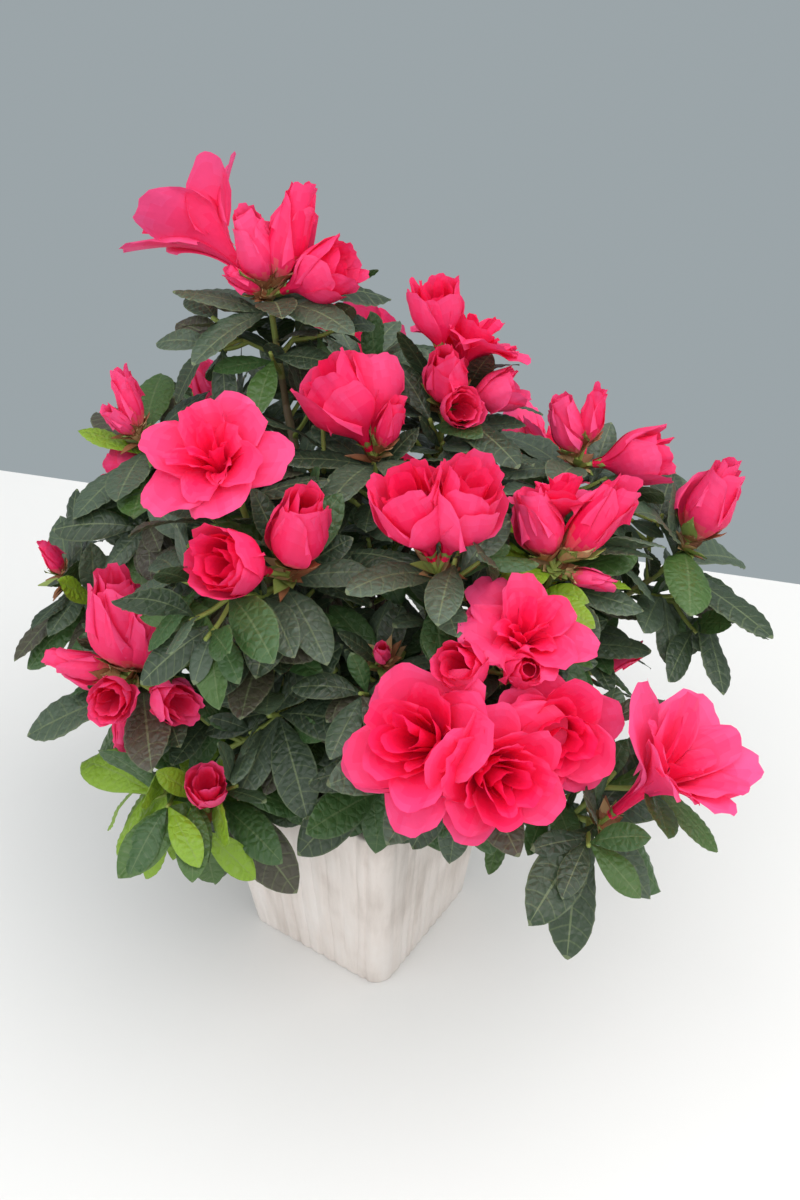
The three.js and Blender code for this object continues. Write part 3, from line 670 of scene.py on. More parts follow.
def corolla_shape(tip, axis, parts, size, stalk):
    """A bloom's bell as it is tested, hollow down to a valley round its heart."""
    throat = stalk + size * parts["tube"]
    lobes = COROLLA["lobes"]

    def ring(at, radius, sides, swell=None):
        return circle(tip + axis * at, axis, radius, sides, swell)

    rim = ring(
        throat + size * parts["rim_at"],
        size * parts["rim"],
        COROLLA["sides"],
        lambda angle: 1 + COROLLA["lobe_depth"] * math.cos(lobes * angle),
    )
    outside = ring(throat + size * parts["throat_at"], size * parts["throat"], lobes)
    root = ring(-BLOOM_ROOT["sunk"], BLOOM_ROOT["radius"], BLOOM_ROOT["sides"])
    rings = [root, ring(throat, COROLLA["neck_radius"], lobes), outside, rim]
    top = throat + size * parts["throat_at"] * COROLLA["well"]
    if parts["heart"] > 0:
        thick = COROLLA["thickness"]
        top = throat + size * parts["heart_at"]
        valley = throat + size * parts["throat_at"] + thick
        rings.append(ring(valley, size * parts["throat"] - thick, lobes))
        foot = throat + size * parts["heart_at"] * COROLLA["heart_foot"]
        rings.append(ring(foot, size * parts["heart"], lobes))
    return loft([*rings, [tip + axis * top]])


def spindle_shape(tip, axis, parts, size, stalk):
    """A bud or a half-open flower as it is tested, widest at its waist."""
    sides, narrowed = SPINDLE["sides"], size * parts["waist"] * SPINDLE["shoulder_share"]
    waist = tip + axis * (stalk + size * parts["swell"])
    shoulder = tip + axis * (stalk + size * SPINDLE["shoulder"])
    root = tip - axis * BLOOM_ROOT["sunk"]
    return loft([
        circle(root, axis, BLOOM_ROOT["radius"], BLOOM_ROOT["sides"]),
        circle(waist, axis, size * parts["waist"], sides),
        circle(shoulder, axis, narrowed, sides),
        [tip + axis * (stalk + size)],
    ])


def bloom_shape(kind, tip, axis, size, stalk):
    shape = spindle_shape if "waist" in BLOOMS[kind] else corolla_shape
    return shape(tip, axis, BLOOMS[kind], size, stalk)


# ------------------------------------------------------------------ the growth

ROUNDING = 1e-9


class Crown:
    """The plant as it grows, each twig, leaf and bloom clear of what grew before it."""

    most_forms = 16000

    def __init__(self, fine_shoots, bough_shoots):
        trunk = [trunk_centre(height) for height in TRUNK_HEIGHTS]
        limbs = {"trunk": Limb(trunk, [1] * len(trunk))}
        self.sprays = [Spray(name, plan, limbs) for name, plan in SPRAYS.items()]
        self.low = Vector(CAD_BOX[0]) / MM
        self.high = Vector(CAD_BOX[1]) / MM
        self.side_twigs, self.fine_twigs, self.leaves, self.blooms = [], [], [], []
        self.trees, self.owners, self.kinds = [], [], []
        self.balls = np.zeros((self.most_forms, 4))
        self._chart_shoots()
        self._grow(fine_shoots, bough_shoots)

    def _chart_shoots(self):
        """Notes every stretch of the main twigs, and where each spray's stretches begin."""
        starts, runs, firsts = [], [], []
        for own in self.sprays:
            firsts.append(len(starts))
            for twig in own.twigs:
                for a, b in zip(twig.path, twig.path[1:]):
                    starts.append(a)
                    runs.append(b - a)
        self.starts, self.runs, self.firsts = np.array(starts), np.array(runs), firsts
        self.squares = np.sum(self.runs**2, axis=1)

    def in_own_space(self, points, own, reach_over):
        """Whether points are off the planter and no nearer to another spray than allowed."""
        for point in points:
            inside = max(abs(point.x), abs(point.y))
            inside = inside < planter_half(point.z) + SPACE["from_planter"]
            if inside and point.z < PLANTER["height"] + SPACE["from_planter"]:
                return False
        offsets = np.array([tuple(point) for point in points])[:, None] - self.starts
        shares = np.clip(np.einsum("psk,sk->ps", offsets, self.runs) / self.squares, 0, 1)
        gaps = np.linalg.norm(offsets - shares[:, :, None] * self.runs, axis=2)
        nearest = np.minimum.reduceat(gaps, self.firsts, axis=1)
        limit = nearest[:, self.sprays.index(own)] - reach_over
        return bool(np.all(nearest > limit[:, None] - ROUNDING))

    def take(self, shape, owner, kind):
        """Keeps a grown form, so that later ones stay clear of it."""
        count = len(self.trees)
        self.balls[count] = self._ball(shape)
        self.trees.append(BVHTree.FromPolygons(*shape))
        self.owners.append(owner)
        self.kinds.append(kind)

    @staticmethod
    def _ball(shape):
        """The centre and radius of a ball round a form."""
        corners = np.array([tuple(point) for point in shape[0]])
        low, high = corners.min(axis=0), corners.max(axis=0)
        return [*((low + high) / 2), np.linalg.norm(high - low) / 2]

    def is_clear(self, shape, owner, ignored):
        """Whether a form touches nothing grown but its owner's ignored kinds."""
        ball = np.array(self._ball(shape))
        taken = self.balls[: len(self.trees)]
        gaps = np.sum((taken[:, :3] - ball[:3]) ** 2, axis=1)
        tree = None
        for index in np.nonzero(gaps < (taken[:, 3] + ball[3]) ** 2)[0]:
            if self.owners[index] is owner and self.kinds[index] in ignored:
                continue
            tree = tree or BVHTree.FromPolygons(*shape)
            if tree.overlap(self.trees[index]):
                return False
        return True

    def grow_leaf(self, own, random, twig, back, lean, turn, length, outline, fine=False):
        share = 1 - back / path_length(twig.path)
        axis = heading_at(twig.path, share)
        direction = leaning(axis, lean, turn)
        facing = (axis + UP * GROWTH["look_up"]).normalized()
        root = root_under(twig, share, direction)
        droop = within(GROWTH["droop"], random)
        space = FINE_SPACE if fine else SPACE
        for attempt in range(GROWTH["tries"] - 1):
            lifted = (direction + facing * (GROWTH["lift"] * attempt)).normalized()
            grown = length * (1 - GROWTH["shrink"] * attempt)
            leaf = Leaf(root, lifted, facing, grown, droop, outline, space["clear"])
            if fine and not self._in_box(leaf.marks):
                continue
            if not self.in_own_space(leaf.marks, own, space["reach_over"]):
                continue
            if self.is_clear(leaf.room, own, ["twig"]):
                self.take(leaf.shape, own, "leaf")
                self.leaves.append((own, leaf, fine))
                return

    def _in_box(self, points):
        return all(
            self.low[axis] < point[axis] < self.high[axis] for point in points for axis in range(3)
        )

    def whorl(self, own, random, twig, count, leaf_length, turn, spread, outline, fine=False):
        for index in range(count):
            back = WHORL["from_tip"] + WHORL["depth"] * (index + random()) / count
            angle = turn + 360 * index / count + within(WHORL["scatter"], random)
            lean = spread + within(WHORL["scatter"], random)
            length = leaf_length * within(WHORL["size"], random)
            self.grow_leaf(own, random, twig, back, lean, angle, length, outline, fine)

    def stem_leaves(self, own, random, twig, leaf_length, spacing, fine=False):
        lowest = path_length(twig.path) * STEM_LEAVES["lowest"]
        turn = 360 * random()
        back = STEM_LEAVES["from_tip"]
        while back < lowest:
            turn += GOLDEN_TURN
            lean = within(STEM_LEAVES["lean"], random)
            length = leaf_length * within(STEM_LEAVES["size"], random)
            self.grow_leaf(own, random, twig, back, lean, turn, length, "plain", fine)
            back += spacing

    def side_shoots(self, own, random, parents, count, rule, radius, fine=False):
        """Leafy shoots off the parents in turn, each at the first free angle round them."""
        space = FINE_SPACE if fine else SPACE
        turn = 360 * random()
        for index in range(count):
            parent = parents[index % len(parents)].path
            share = within(rule["along"], random)
            root = point_at(parent, share)
            axis = heading_at(parent, share)
            length = within(rule["length"], random)
            for _ in range(GROWTH["tries"]):
                turn += GOLDEN_TURN
                leaving = (leaning(axis, 90, turn) + axis * rule["forward"]).normalized()
                arriving = (leaving + UP * rule["rise"]).normalized()
                end = root + leaving * (length * TWIG["out_share"])
                end = end + arriving * (length * TWIG["up_share"])
                path = bend(root, leaving, end, arriving, TWIG["side_steps"])
                radii = taper(radius + TWIG["root_extra"], radius, TWIG["side_steps"])
                twig = Limb(path, radii, TWIG["sides"], leaving, arriving)
                tested = twig.shape(space["clear"])
                if fine:
                    tested = Limb(path[1:], radii[1:]).shape(space["clear"])
                    if not self._in_box(path):
                        continue
                if not self.in_own_space(path, own, space["reach_over"]):
                    continue
                if self.is_clear(tested, own, ["twig"]):
                    start = 360 * random()
                    self.take(twig.shape(), own, "twig")
                    (self.fine_twigs if fine else self.side_twigs).append((own, twig))
                    self.whorl(own, random, twig, rule["leaves"], rule["leaf_length"], start,
                               rule["spread"], "plain", fine)
                    break

    def grow_bloom(self, own, tip, plan):
        axis = towards(plan.heading, plan.lift)
        for attempt in range(GROWTH["tries"]):
            size = plan.size * (1 - GROWTH["shrink"] * attempt)
            tested = bloom_shape(plan.kind, tip, axis, size + 2 * SPACE["clear"], plan.stalk)
            if self.is_clear(tested, own, ["twig", "bloom"]):
                self.take(bloom_shape(plan.kind, tip, axis, size, plan.stalk), own, "bloom")
                self.blooms.append((plan.kind, tip, axis, size, plan.stalk))
                return

    def _grow(self, fine_shoots, bough_shoots):
        """Grows each kind in a round of its own, so that blooms come before leaves."""
        self.take(trunk_shape(SEAM), None, "limb")
        for own in self.sprays:
            self.take(own.bough.shape(SEAM), None, "limb")
        for own in self.sprays:
            for twig in own.twigs:
                self.take(twig.shape(), own, "twig")

        def bloom_round(own, random):
            for plan, twig in zip(own.plan.shoots, own.twigs):
                for flower in plan.blooms:
                    self.grow_bloom(own, twig.path[-1], flower)

        def whorl_round(own, random):
            for plan, twig in zip(own.plan.shoots, own.twigs):
                self.whorl(own, random, twig, plan.leaves, plan.leaf_length, plan.turn,
                           WHORL["spread"], "full")

        def side_round(own, random):
            count = own.plan.fill
            self.side_shoots(own, random, own.twigs, count, SIDE_SHOOTS, TWIG["side_radius"])

        def stem_round(own, random):
            for plan, twig in zip(own.plan.shoots, own.twigs):
                spacing = STEM_LEAVES["spacing"]
                self.stem_leaves(own, random, twig, plan.leaf_length, spacing)

        def fine_round(own, random):
            grown = [twig for owner, twig in self.side_twigs if owner is own]
            count = fine_shoots * len(own.twigs)
            radius = TWIG["fine_radius"]
            self.side_shoots(own, random, own.twigs + grown, count, FINE_SHOOTS, radius, True)

        def bough_round(own, random):
            radius = TWIG["fine_radius"]
            self.side_shoots(own, random, [own.bough], bough_shoots, BOUGH_SHOOTS, radius, True)

        def filling_round(own, random):
            grown = [twig for owner, twig in self.side_twigs + self.fine_twigs if owner is own]
            length = FINE_SHOOTS["leaf_length"]
            for twig in own.twigs:
                self.stem_leaves(own, random, twig, length, FILLING["twig_spacing"], True)
            length = FILLING["shoot_share"] * length
            for twig in grown:
                self.stem_leaves(own, random, twig, length, FILLING["shoot_spacing"], True)

        rounds = (bloom_round, whorl_round, side_round, stem_round, fine_round, bough_round,
                  filling_round)
        for order, grow in enumerate(rounds):
            for index, own in enumerate(self.sprays):
                steps = GROWTH_SEEDS["next_spray"] * index + GROWTH_SEEDS["next_round"] * order
                grow(own, seeded(GROWTH_SEEDS["first"] + steps))


@lru_cache(maxsize=1)
def crown(fine_shoots, bough_shoots):
    """The grown crown, which all the pieces share."""
    return Crown(fine_shoots, bough_shoots)


# ---------------------------------------------------------------- shader maths


class Wire:
    """A shader socket in an expression: its operators add Math nodes."""

    def __init__(self, finish, socket):
        self.finish = finish
        self.socket = socket

    def _math(self, operation, first, second):
        return self.finish.add("ShaderNodeMath", {"operation": operation}, {0: first, 1: second})

    def __add__(self, other):
        return self._math("ADD", self, other)

    __radd__ = __add__

    def __mul__(self, other):
        return self._math("MULTIPLY", self, other)

    __rmul__ = __mul__

    def __sub__(self, other):
        return self._math("SUBTRACT", self, other)

    def __rsub__(self, other):
        return self._math("SUBTRACT", other, self)


class Finish:
    """A material in the making, with one Principled shader."""

    def __init__(self, name, roughness, shine=0.5):
        self.material = bpy.data.materials.new(name)
        self.material.use_nodes = True
        self.tree = self.material.node_tree
        self.shader = self.tree.nodes["Principled BSDF"]
        self.shader.inputs["Roughness"].default_value = roughness
        self.shader.inputs["Specular IOR Level"].default_value = shine

    def add(self, kind, settings=None, inputs=None, output=0):
        """A node of that kind: its settings are set first, then its sockets' values or links."""
        node = self.tree.nodes.new(kind)
        for name, value in (settings or {}).items():
            if name == "stops":
                while len(node.color_ramp.elements) < len(value):
                    node.color_ramp.elements.new(1)
                for element, (place, colour) in zip(node.color_ramp.elements, value):
                    element.position = place
                    element.color = solid(colour)
            else:
                setattr(node, name, value)
        for name, value in (inputs or {}).items():
            self.feed(node.inputs[name], value)
        return Wire(self, node.outputs[output])

    def feed(self, socket, value):
        if isinstance(value, Wire):
            self.tree.links.new(value.socket, socket)
        else:
            socket.default_value = value

    def place(self, stretch=(1, 1, 1)):
        spot = self.add("ShaderNodeTexCoord", output="Object")
        return self.add("ShaderNodeMapping", None, {"Vector": spot, "Scale": stretch})

    def noise(self, scale, detail, stretch=(1, 1, 1), rough=0.5):
        return self.add("ShaderNodeTexNoise", None, {
            "Vector": self.place(stretch), "Scale": scale, "Detail": detail, "Roughness": rough,
        })

    def cells(self, scale):
        """How far each spot lies from the net between rounded cells."""
        settings = {"feature": "DISTANCE_TO_EDGE"}
        return self.add("ShaderNodeTexVoronoi", settings, {"Vector": self.place(), "Scale": scale})

    def ramp(self, value, *stops):
        return self.add("ShaderNodeValToRGB", {"stops": stops}, {"Fac": value})

    def colour(self, value):
        self.feed(self.shader.inputs["Base Color"], value)

    def rough(self, value):
        self.feed(self.shader.inputs["Roughness"], value)

    def bump(self, height, strength, distance):
        relief = self.add("ShaderNodeBump", None, {
            "Height": height, "Strength": strength, "Distance": distance,
        })
        self.feed(self.shader.inputs["Normal"], relief)

    def let_light_through(self, colour, share):
        """Mixes in light from behind, as thin petals and leaves show it."""
        behind = self.add("ShaderNodeBsdfTranslucent", None, {"Color": solid(colour)})
        shader = Wire(self, self.shader.outputs[0])
        mixed = self.add("ShaderNodeMixShader", None, {0: share, 1: shader, 2: behind})
        self.feed(self.tree.nodes["Material Output"].inputs["Surface"], mixed)


def solid(colour):
    """A colour with nothing see-through about it."""
    return (*colour, 1)


def between(first, second, share):
    """A colour some share of the way from one to another."""
    return tuple(mix(a, b, share) for a, b in zip(first, second))


WHITE, BLACK = (1, 1, 1), (0, 0, 0)
LEAF_GLOW = (0.3, 0.5, 0.05)  # light that has passed through a leaf


def petal_finish(name, colour, roughness):
    finish = Finish(name, roughness, shine=0.25)
    finish.colour(solid(colour))
    crinkle = finish.noise(scale=380, detail=5)
    finish.rough(roughness - 0.08 + crinkle * 0.16)
    finish.bump(crinkle, strength=0.4, distance=0.0007)
    finish.let_light_through(colour, share=0.26)
    return finish.material


def leaf_finish(name, colour, roughness, shine):
    finish = Finish(name, roughness, shine)
    finish.colour(solid(colour))
    ripple = finish.noise(scale=420, detail=4)
    cells = finish.cells(scale=300)
    finish.rough(roughness - 0.02 + ripple * 0.2 - cells * 0.45)
    finish.bump(ripple * 0.4 + cells * 1.4, strength=0.65, distance=0.001)
    finish.let_light_through(between(colour, LEAF_GLOW, 0.3), share=0.08)
    return finish.material


def bark_finish(name, light, dark):
    finish = Finish(name, roughness=0.85)
    grain = finish.noise(scale=500, detail=6, stretch=(1, 1, 0.25))
    finish.colour(finish.ramp(grain, (0.3, dark), (0.7, light)))
    finish.rough(0.75 + grain * 0.2)
    finish.bump(grain, strength=0.6, distance=0.0008)
    return finish.material


def stem_finish(name, colour):
    finish = Finish(name, roughness=0.6)
    finish.colour(solid(colour))
    hairs = finish.noise(scale=1800, detail=3)
    finish.rough(0.5 + hairs * 0.2)
    finish.bump(hairs, strength=0.4, distance=0.0003)
    return finish.material


def planter_finish(name, light, dark, roughness):
    finish = Finish(name, roughness)
    grain = finish.noise(scale=90, detail=7, stretch=(1, 1, 0.07), rough=0.6)
    clouds = finish.noise(scale=28, detail=4)
    specks = finish.noise(scale=900, detail=2)
    bare = between(light, WHITE, 0.3)
    tone = grain * 0.55 + clouds * 0.45
    finish.colour(finish.ramp(tone, (0.36, dark), (0.5, light), (0.7, bare)))
    finish.rough(roughness - 0.12 + clouds * 0.24)
    finish.bump(grain * 0.8 + specks * 0.2, strength=0.5, distance=0.0012)
    return finish.material


def soil_finish(name, light, dark):
    finish = Finish(name, roughness=0.95)
    crumbs = finish.noise(scale=300, detail=8, rough=0.7)
    finish.colour(finish.ramp(crumbs, (0.35, dark), (0.62, light)))
    finish.bump(crumbs, strength=0.9, distance=0.002)
    return finish.material


def floor_finish(name, colour):
    finish = Finish(name, roughness=0.75)
    clouds = finish.noise(scale=3, detail=4)
    finish.colour(finish.ramp(clouds, (0.3, between(colour, BLACK, 0.03)), (0.7, colour)))
    finish.bump(finish.noise(scale=400, detail=3), strength=0.05, distance=0.0005)
    return finish.material


# ------------------------------------------------------------------- the meshes

LIMB_POINT = 0.5  # how far a limb's end is drawn out, as a share of its radius


class Piece:
    """Points, faces and shades gathered into a mesh, or into several where it grows too big."""

    most_faces = 94000

    def __init__(self, name, materials, slot, replaced=()):
        self.name, self.materials, self.slot, self.replaced = name, materials, slot, replaced
        self.made = 0
        self._clear()

    def _clear(self):
        self.points, self.faces, self.shades, self.count = [], [], [], 0

    def grid(self, points, shades):
        """A sheet of quads through rows of points, with one shade or a shade for each face."""
        rows, cols = points.shape[:2]
        index = np.arange(rows * cols).reshape(rows, cols) + self.count
        quads = np.stack([index[:-1, :-1], index[:-1, 1:], index[1:, 1:], index[1:, :-1]], axis=-1)
        self.points.append(points.reshape(-1, 3))
        self.faces.append(quads.reshape(-1, 4))
        self.shades.append(np.broadcast_to(shades, (rows - 1, cols - 1)).reshape(-1))
        self.count += rows * cols
        if sum(map(len, self.faces)) > self.most_faces:
            self.finish()

    def tube(self, path, radii, sides, shades, relief=None):
        """A round limb along a path, with its end drawn to a point."""
        limb = Limb(path, radii, sides)
        angles = TURN * np.arange(sides + 1) / sides
        rings = []
        for step, (_, side, lift) in enumerate(limb.frames()):
            reach = radii[step] * (relief(step, angles) if relief else 1)
            ring = np.outer(np.cos(angles) * reach, side) + np.outer(np.sin(angles) * reach, lift)
            rings.append(ring + np.array(path[step]))
        end = path[-1] + limb.arriving * radii[-1] * LIMB_POINT
        rings.append(np.tile(np.array(end), (sides + 1, 1)))
        if not np.isscalar(shades):
            shades = np.array(shades)[: len(rings) - 1, None]
        self.grid(np.array(rings), shades)

    def finish(self):
        """Makes the object, and starts the next one of the same kind."""
        if not self.count:
            return
        label = f"{self.name}_{self.made + 1}" if self.made else self.name
        mesh = bpy.data.meshes.new(label)
        faces = np.concatenate(self.faces).tolist()
        mesh.from_pydata((np.concatenate(self.points) * MM).tolist(), [], faces)
        for material in self.materials:
            mesh.materials.append(material)
        mesh.polygons.foreach_set("material_index", np.concatenate(self.shades).astype(np.int32))
        mesh.polygons.foreach_set("use_smooth", np.ones(len(faces), bool))
        mesh.validate()
        mesh.update()
        piece = bpy.data.objects.new(label, mesh)
        bpy.context.scene.collection.objects.link(piece)
        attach(piece, "root")
        if self.replaced and not self.made:
            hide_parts(*self.replaced)
        self.made += 1
        self._clear()


def smooth_path(path, steps):
    """The same course with more points, bending evenly through the old ones."""
    points = [path[0] * 2 - path[1], *path, path[-1] * 2 - path[-2]]
    course = []
    for a, b, c, d in zip(points, points[1:], points[2:], points[3:]):
        for step in range(steps):
            t = step / steps
            even = b * 2 + (c - a) * t + (a * 2 - b * 5 + c * 4 - d) * t**2
            course.append((even + (b * 3 - a - c * 3 + d) * t**3) * 0.5)
    return [*course, path[-1].copy()]


def refined(values, steps):
    """The same run of values with more steps between them."""
    return [
        mix(a, b, step / steps) for a, b in zip(values, values[1:]) for step in range(steps)
    ] + [values[-1]]


# -------------------------------------------------------------------- planter

RIBS = {
    "seed": 41,
    "narrowest": 0.6,
    "depth": (0.45, 0.9),  # the least, and how much more at most, as shares of the set depth
    "samples": 14,
    "corner_steps": 8,
    "tightest_corner": 2,
    "sway": 0.012,
    "sway_scale": (9, 6, 0.03),
    "wear_scale": (0.5, 20, 0.06),
    "flatness": 0.45,
}
# The shell's rows from its foot over the rim and down inside: the height, how far the row
# lies inside the plain outline, and how much of the ribs' relief it has.
SHELL_ROWS = [
    (0, 1.2, 0.6),
    (0.3, 0.5, 0.9),
    (1.2, 0, 1),
    *((1.2 + 100.6 * step / 36, 0, 1) for step in range(1, 37)),
    (102.6, 0.35, 0.8),
    (103, 1.1, 0.4),
    (103, 4.0, 0),
    (102.6, 4.8, 0),
    (100, 5, 0),
    (88, 5, 0),
]
UNDERSIDE = (0.001, 0.9, 1)  # rings under the foot, as shares of its width
COMPOST = {
    "squares": 60, "corner_squeeze": 0.1, "lump_scale": 0.35, "fine_lumps": 0.5, "lump": 0.9,
    "sunk": 0.3, "skirt": 88, "skirt_share": 0.97,
}
CHIPS = {
    "seed": 77, "from_edge": 4, "from_stem": 11, "above": 0.2, "tilt": (-20, 20),
    "length": (2, 5), "half_width": (0.6, 1.5), "sides": 5,
}


def uneven_ribs(settings):
    """Each face's rib edges, as shares of the face, and the depth of each rib's grooves."""
    random = seeded(RIBS["seed"])
    ribs = settings.ribs
    widths = [[RIBS["narrowest"] + random() for _ in range(ribs)] for _ in range(4)]
    least, more = RIBS["depth"]
    depths = [
        [settings.rib_depth * (least + more * random()) for _ in range(ribs)] for _ in range(4)
    ]
    return [np.cumsum([0, *face]) / sum(face) for face in widths], depths


def groove(face, share, x, height, edges, depths, wear):
    """How deep the glaze lies there below the plain wall."""
    scale = RIBS["sway_scale"]
    spot = Vector((face * scale[0], share * scale[1], height * scale[2]))
    place = share + RIBS["sway"] * noise.noise(spot)
    rib = int(np.clip(np.searchsorted(edges, place) - 1, 0, len(depths) - 1))
    span = edges[rib + 1] - edges[rib]
    across_rib = np.clip((place - edges[rib]) / span, 0, 1)
    crown = math.sin(math.pi * across_rib) ** RIBS["flatness"]
    scale = RIBS["wear_scale"]
    rough = noise.noise(Vector((x * scale[0], face * scale[1], height * scale[2])))
    return depths[rib] * (1 - crown) + wear * (0.5 + rough)


def planter_rings(settings):
    """The planter's rings of points, one for each row of its shell."""
    edges, depths = uneven_ribs(settings)
    samples, corner_steps = RIBS["samples"] * settings.ribs, RIBS["corner_steps"]
    rings = []
    for height, inset, relief in SHELL_ROWS:
        half = planter_half(height) - inset
        corner = max(PLANTER["corner"] - inset, RIBS["tightest_corner"])
        flat = half - corner
        ring = []
        for face in range(4):
            outline = []
            for step in range(samples + 1):
                share = step / samples
                x = mix(-flat, flat, share)
                depth = groove(face, share, x, height, edges[face], depths[face], settings.wear)
                outline.append((x, relief * depth))
            for step in range(1, corner_steps):
                angle = math.pi / 2 * step / corner_steps
                outline.append((flat + corner * math.sin(angle), corner * (1 - math.cos(angle))))
            turn = math.pi / 2 * face
            for x, depth in outline:
                y = depth - half
                ring.append((
                    x * math.cos(turn) - y * math.sin(turn),
                    x * math.sin(turn) + y * math.cos(turn),
                    height,
                ))
        rings.append([*ring, ring[0]])
    return np.array(rings)


def build_planter(settings):
    material = planter_finish(
        "planter_glaze", settings.light, settings.dark, settings.roughness
    )
    piece = Piece("planter_shell", [material], "planter", ["planter"])
    rings = planter_rings(settings)
    piece.grid(rings, 0)
    piece.grid(np.array([rings[0] * (share, share, 1) for share in UNDERSIDE]), 0)
    piece.finish()


def soil_height(x, y, half):
    return mix(SOIL["crown"], SOIL["edge"], min(1, math.hypot(x, y) / half))


def add_chips(piece, half, count):
    """Bark chips strewn over the compost, clear of the stem and the planter."""
    random = seeded(CHIPS["seed"])
    span = (-half + CHIPS["from_edge"], half - CHIPS["from_edge"])
    for _ in range(count):
        x, y = within(span, random), within(span, random)
        if math.hypot(x, y) < CHIPS["from_stem"]:
            continue
        centre = Vector((x, y, soil_height(x, y, half) + CHIPS["above"]))
        along_chip = towards(360 * random(), within(CHIPS["tilt"], random))
        length = within(CHIPS["length"], random)
        path = [centre + along_chip * (length * share) for share in (-0.5, -0.2, 0.2, 0.5)]
        wide = within(CHIPS["half_width"], random)
        piece.tube(path, [0.1, wide, wide * 0.8, 0.1], CHIPS["sides"], 1)


def build_soil(settings):
    materials = [
        soil_finish("compost", settings.light, settings.dark),
        bark_finish("bark_chips", settings.chips, settings.dark),
    ]
    piece = Piece("soil_bed", materials, "soil", ["soil"])
    half = planter_half(SOIL["edge"]) - PLANTER["wall"] - SOIL["clear"]
    sides = np.linspace(-1, 1, COMPOST["squares"] + 1)
    table = []
    for v in sides:
        row = []
        for u in sides:
            squeeze = 1 - COMPOST["corner_squeeze"] * (u * v) ** 2
            x, y = u * half * squeeze, v * half * squeeze
            lump = noise.noise(Vector((x * COMPOST["lump_scale"], y * COMPOST["lump_scale"], 3)))
            lump += COMPOST["fine_lumps"] * noise.noise(Vector((x, y, 9)))
            row.append((x, y, soil_height(x, y, half) - COMPOST["sunk"] + COMPOST["lump"] * lump))
        table.append(row)
    table = np.array(table)
    piece.grid(table, 0)
    edge = np.concatenate([table[0], table[1:, -1], table[-1, -2::-1], table[-2::-1, 0]])
    share = COMPOST["skirt_share"]
    piece.grid(np.array([edge, edge * (share, share, 0) + (0, 0, COMPOST["skirt"])]), 0)
    add_chips(piece, half, settings.chip_count)
    piece.finish()


# -------------------------------------------------------------- limbs and twigs

BARK = {"ridge_scale": 2.2, "knot_scale": 0.9, "knots": 0.5, "knot_turn": 3}
TRUNK_BARK = {"rows": 40, "sides": 24, "coarse": 0.35, "rounded": 1.2}
BOUGH_BARK = {"steps": 7, "sides": 12, "coarse": 0.5, "young_from": 0.7}
# For each kind of twig: its steps for each of the grown one's, its radius as a share of the
# grown one's, and its sides.
MAIN_TWIG, SIDE_TWIG, FINE_TWIG = (6, 0.82, 8), (5, 0.8, 7), (4, 1, 6)
TWIG_SHADES = 3
STALK = {"radii": (0.9, 0.8, 1.1), "sunk": 0.5, "sides": 6}


def ridged(path, depth, coarse):
    """A limb's bark: how its radius changes at each step and each angle round it."""

    def ridge(angle, spot):
        turned = Vector((math.cos(angle), math.sin(angle), 0))
        scale = BARK["ridge_scale"]
        place = Vector((math.cos(angle) * scale, math.sin(angle) * scale, spot.z * coarse))
        knot = noise.noise(spot * BARK["knot_scale"] + turned * BARK["knot_turn"])
        return depth * noise.noise(place) + BARK["knots"] * depth * knot

    return lambda step, angles: 1 + np.array([ridge(angle, path[step]) for angle in angles])


def build_limbs(settings, grown):
    """The trunk and boughs as one bark mesh with its relief."""
    materials = [
        bark_finish("old_bark", settings.bark_light, settings.bark_dark),
        bark_finish("young_bark", settings.young_bark, settings.bark_light),
    ]
    names = ["trunk"] + [f"bough_{own.name}" for own in grown.sprays]
    piece = Piece("bark", materials, "bark", names)
    heights = np.linspace(TRUNK_FOOT, TRUNK["fork"], TRUNK_BARK["rows"])
    path = [trunk_centre(height) for height in heights]
    ridges = ridged(path, settings.relief, TRUNK_BARK["coarse"])

    def trunk_relief(step, angles):
        lobes = np.array([trunk_lobes(heights[step], angle + math.pi) for angle in angles])
        return lobes * ridges(step, angles)

    top = TRUNK["fork"] - TRUNK_BARK["rounded"]
    radii = [trunk_radius(min(height, top)) for height in heights]
    piece.tube(path, radii, TRUNK_BARK["sides"], 0, trunk_relief)
    for own in grown.sprays:
        path = smooth_path(own.bough.path, BOUGH_BARK["steps"])
        radii = refined(own.bough.radii, BOUGH_BARK["steps"])
        young_from = BOUGH_BARK["young_from"] * len(path)
        shades = [int(step > young_from) for step in range(len(path))]
        relief = ridged(path, settings.relief, BOUGH_BARK["coarse"])
        piece.tube(path, radii, BOUGH_BARK["sides"], shades, relief)
    piece.finish()


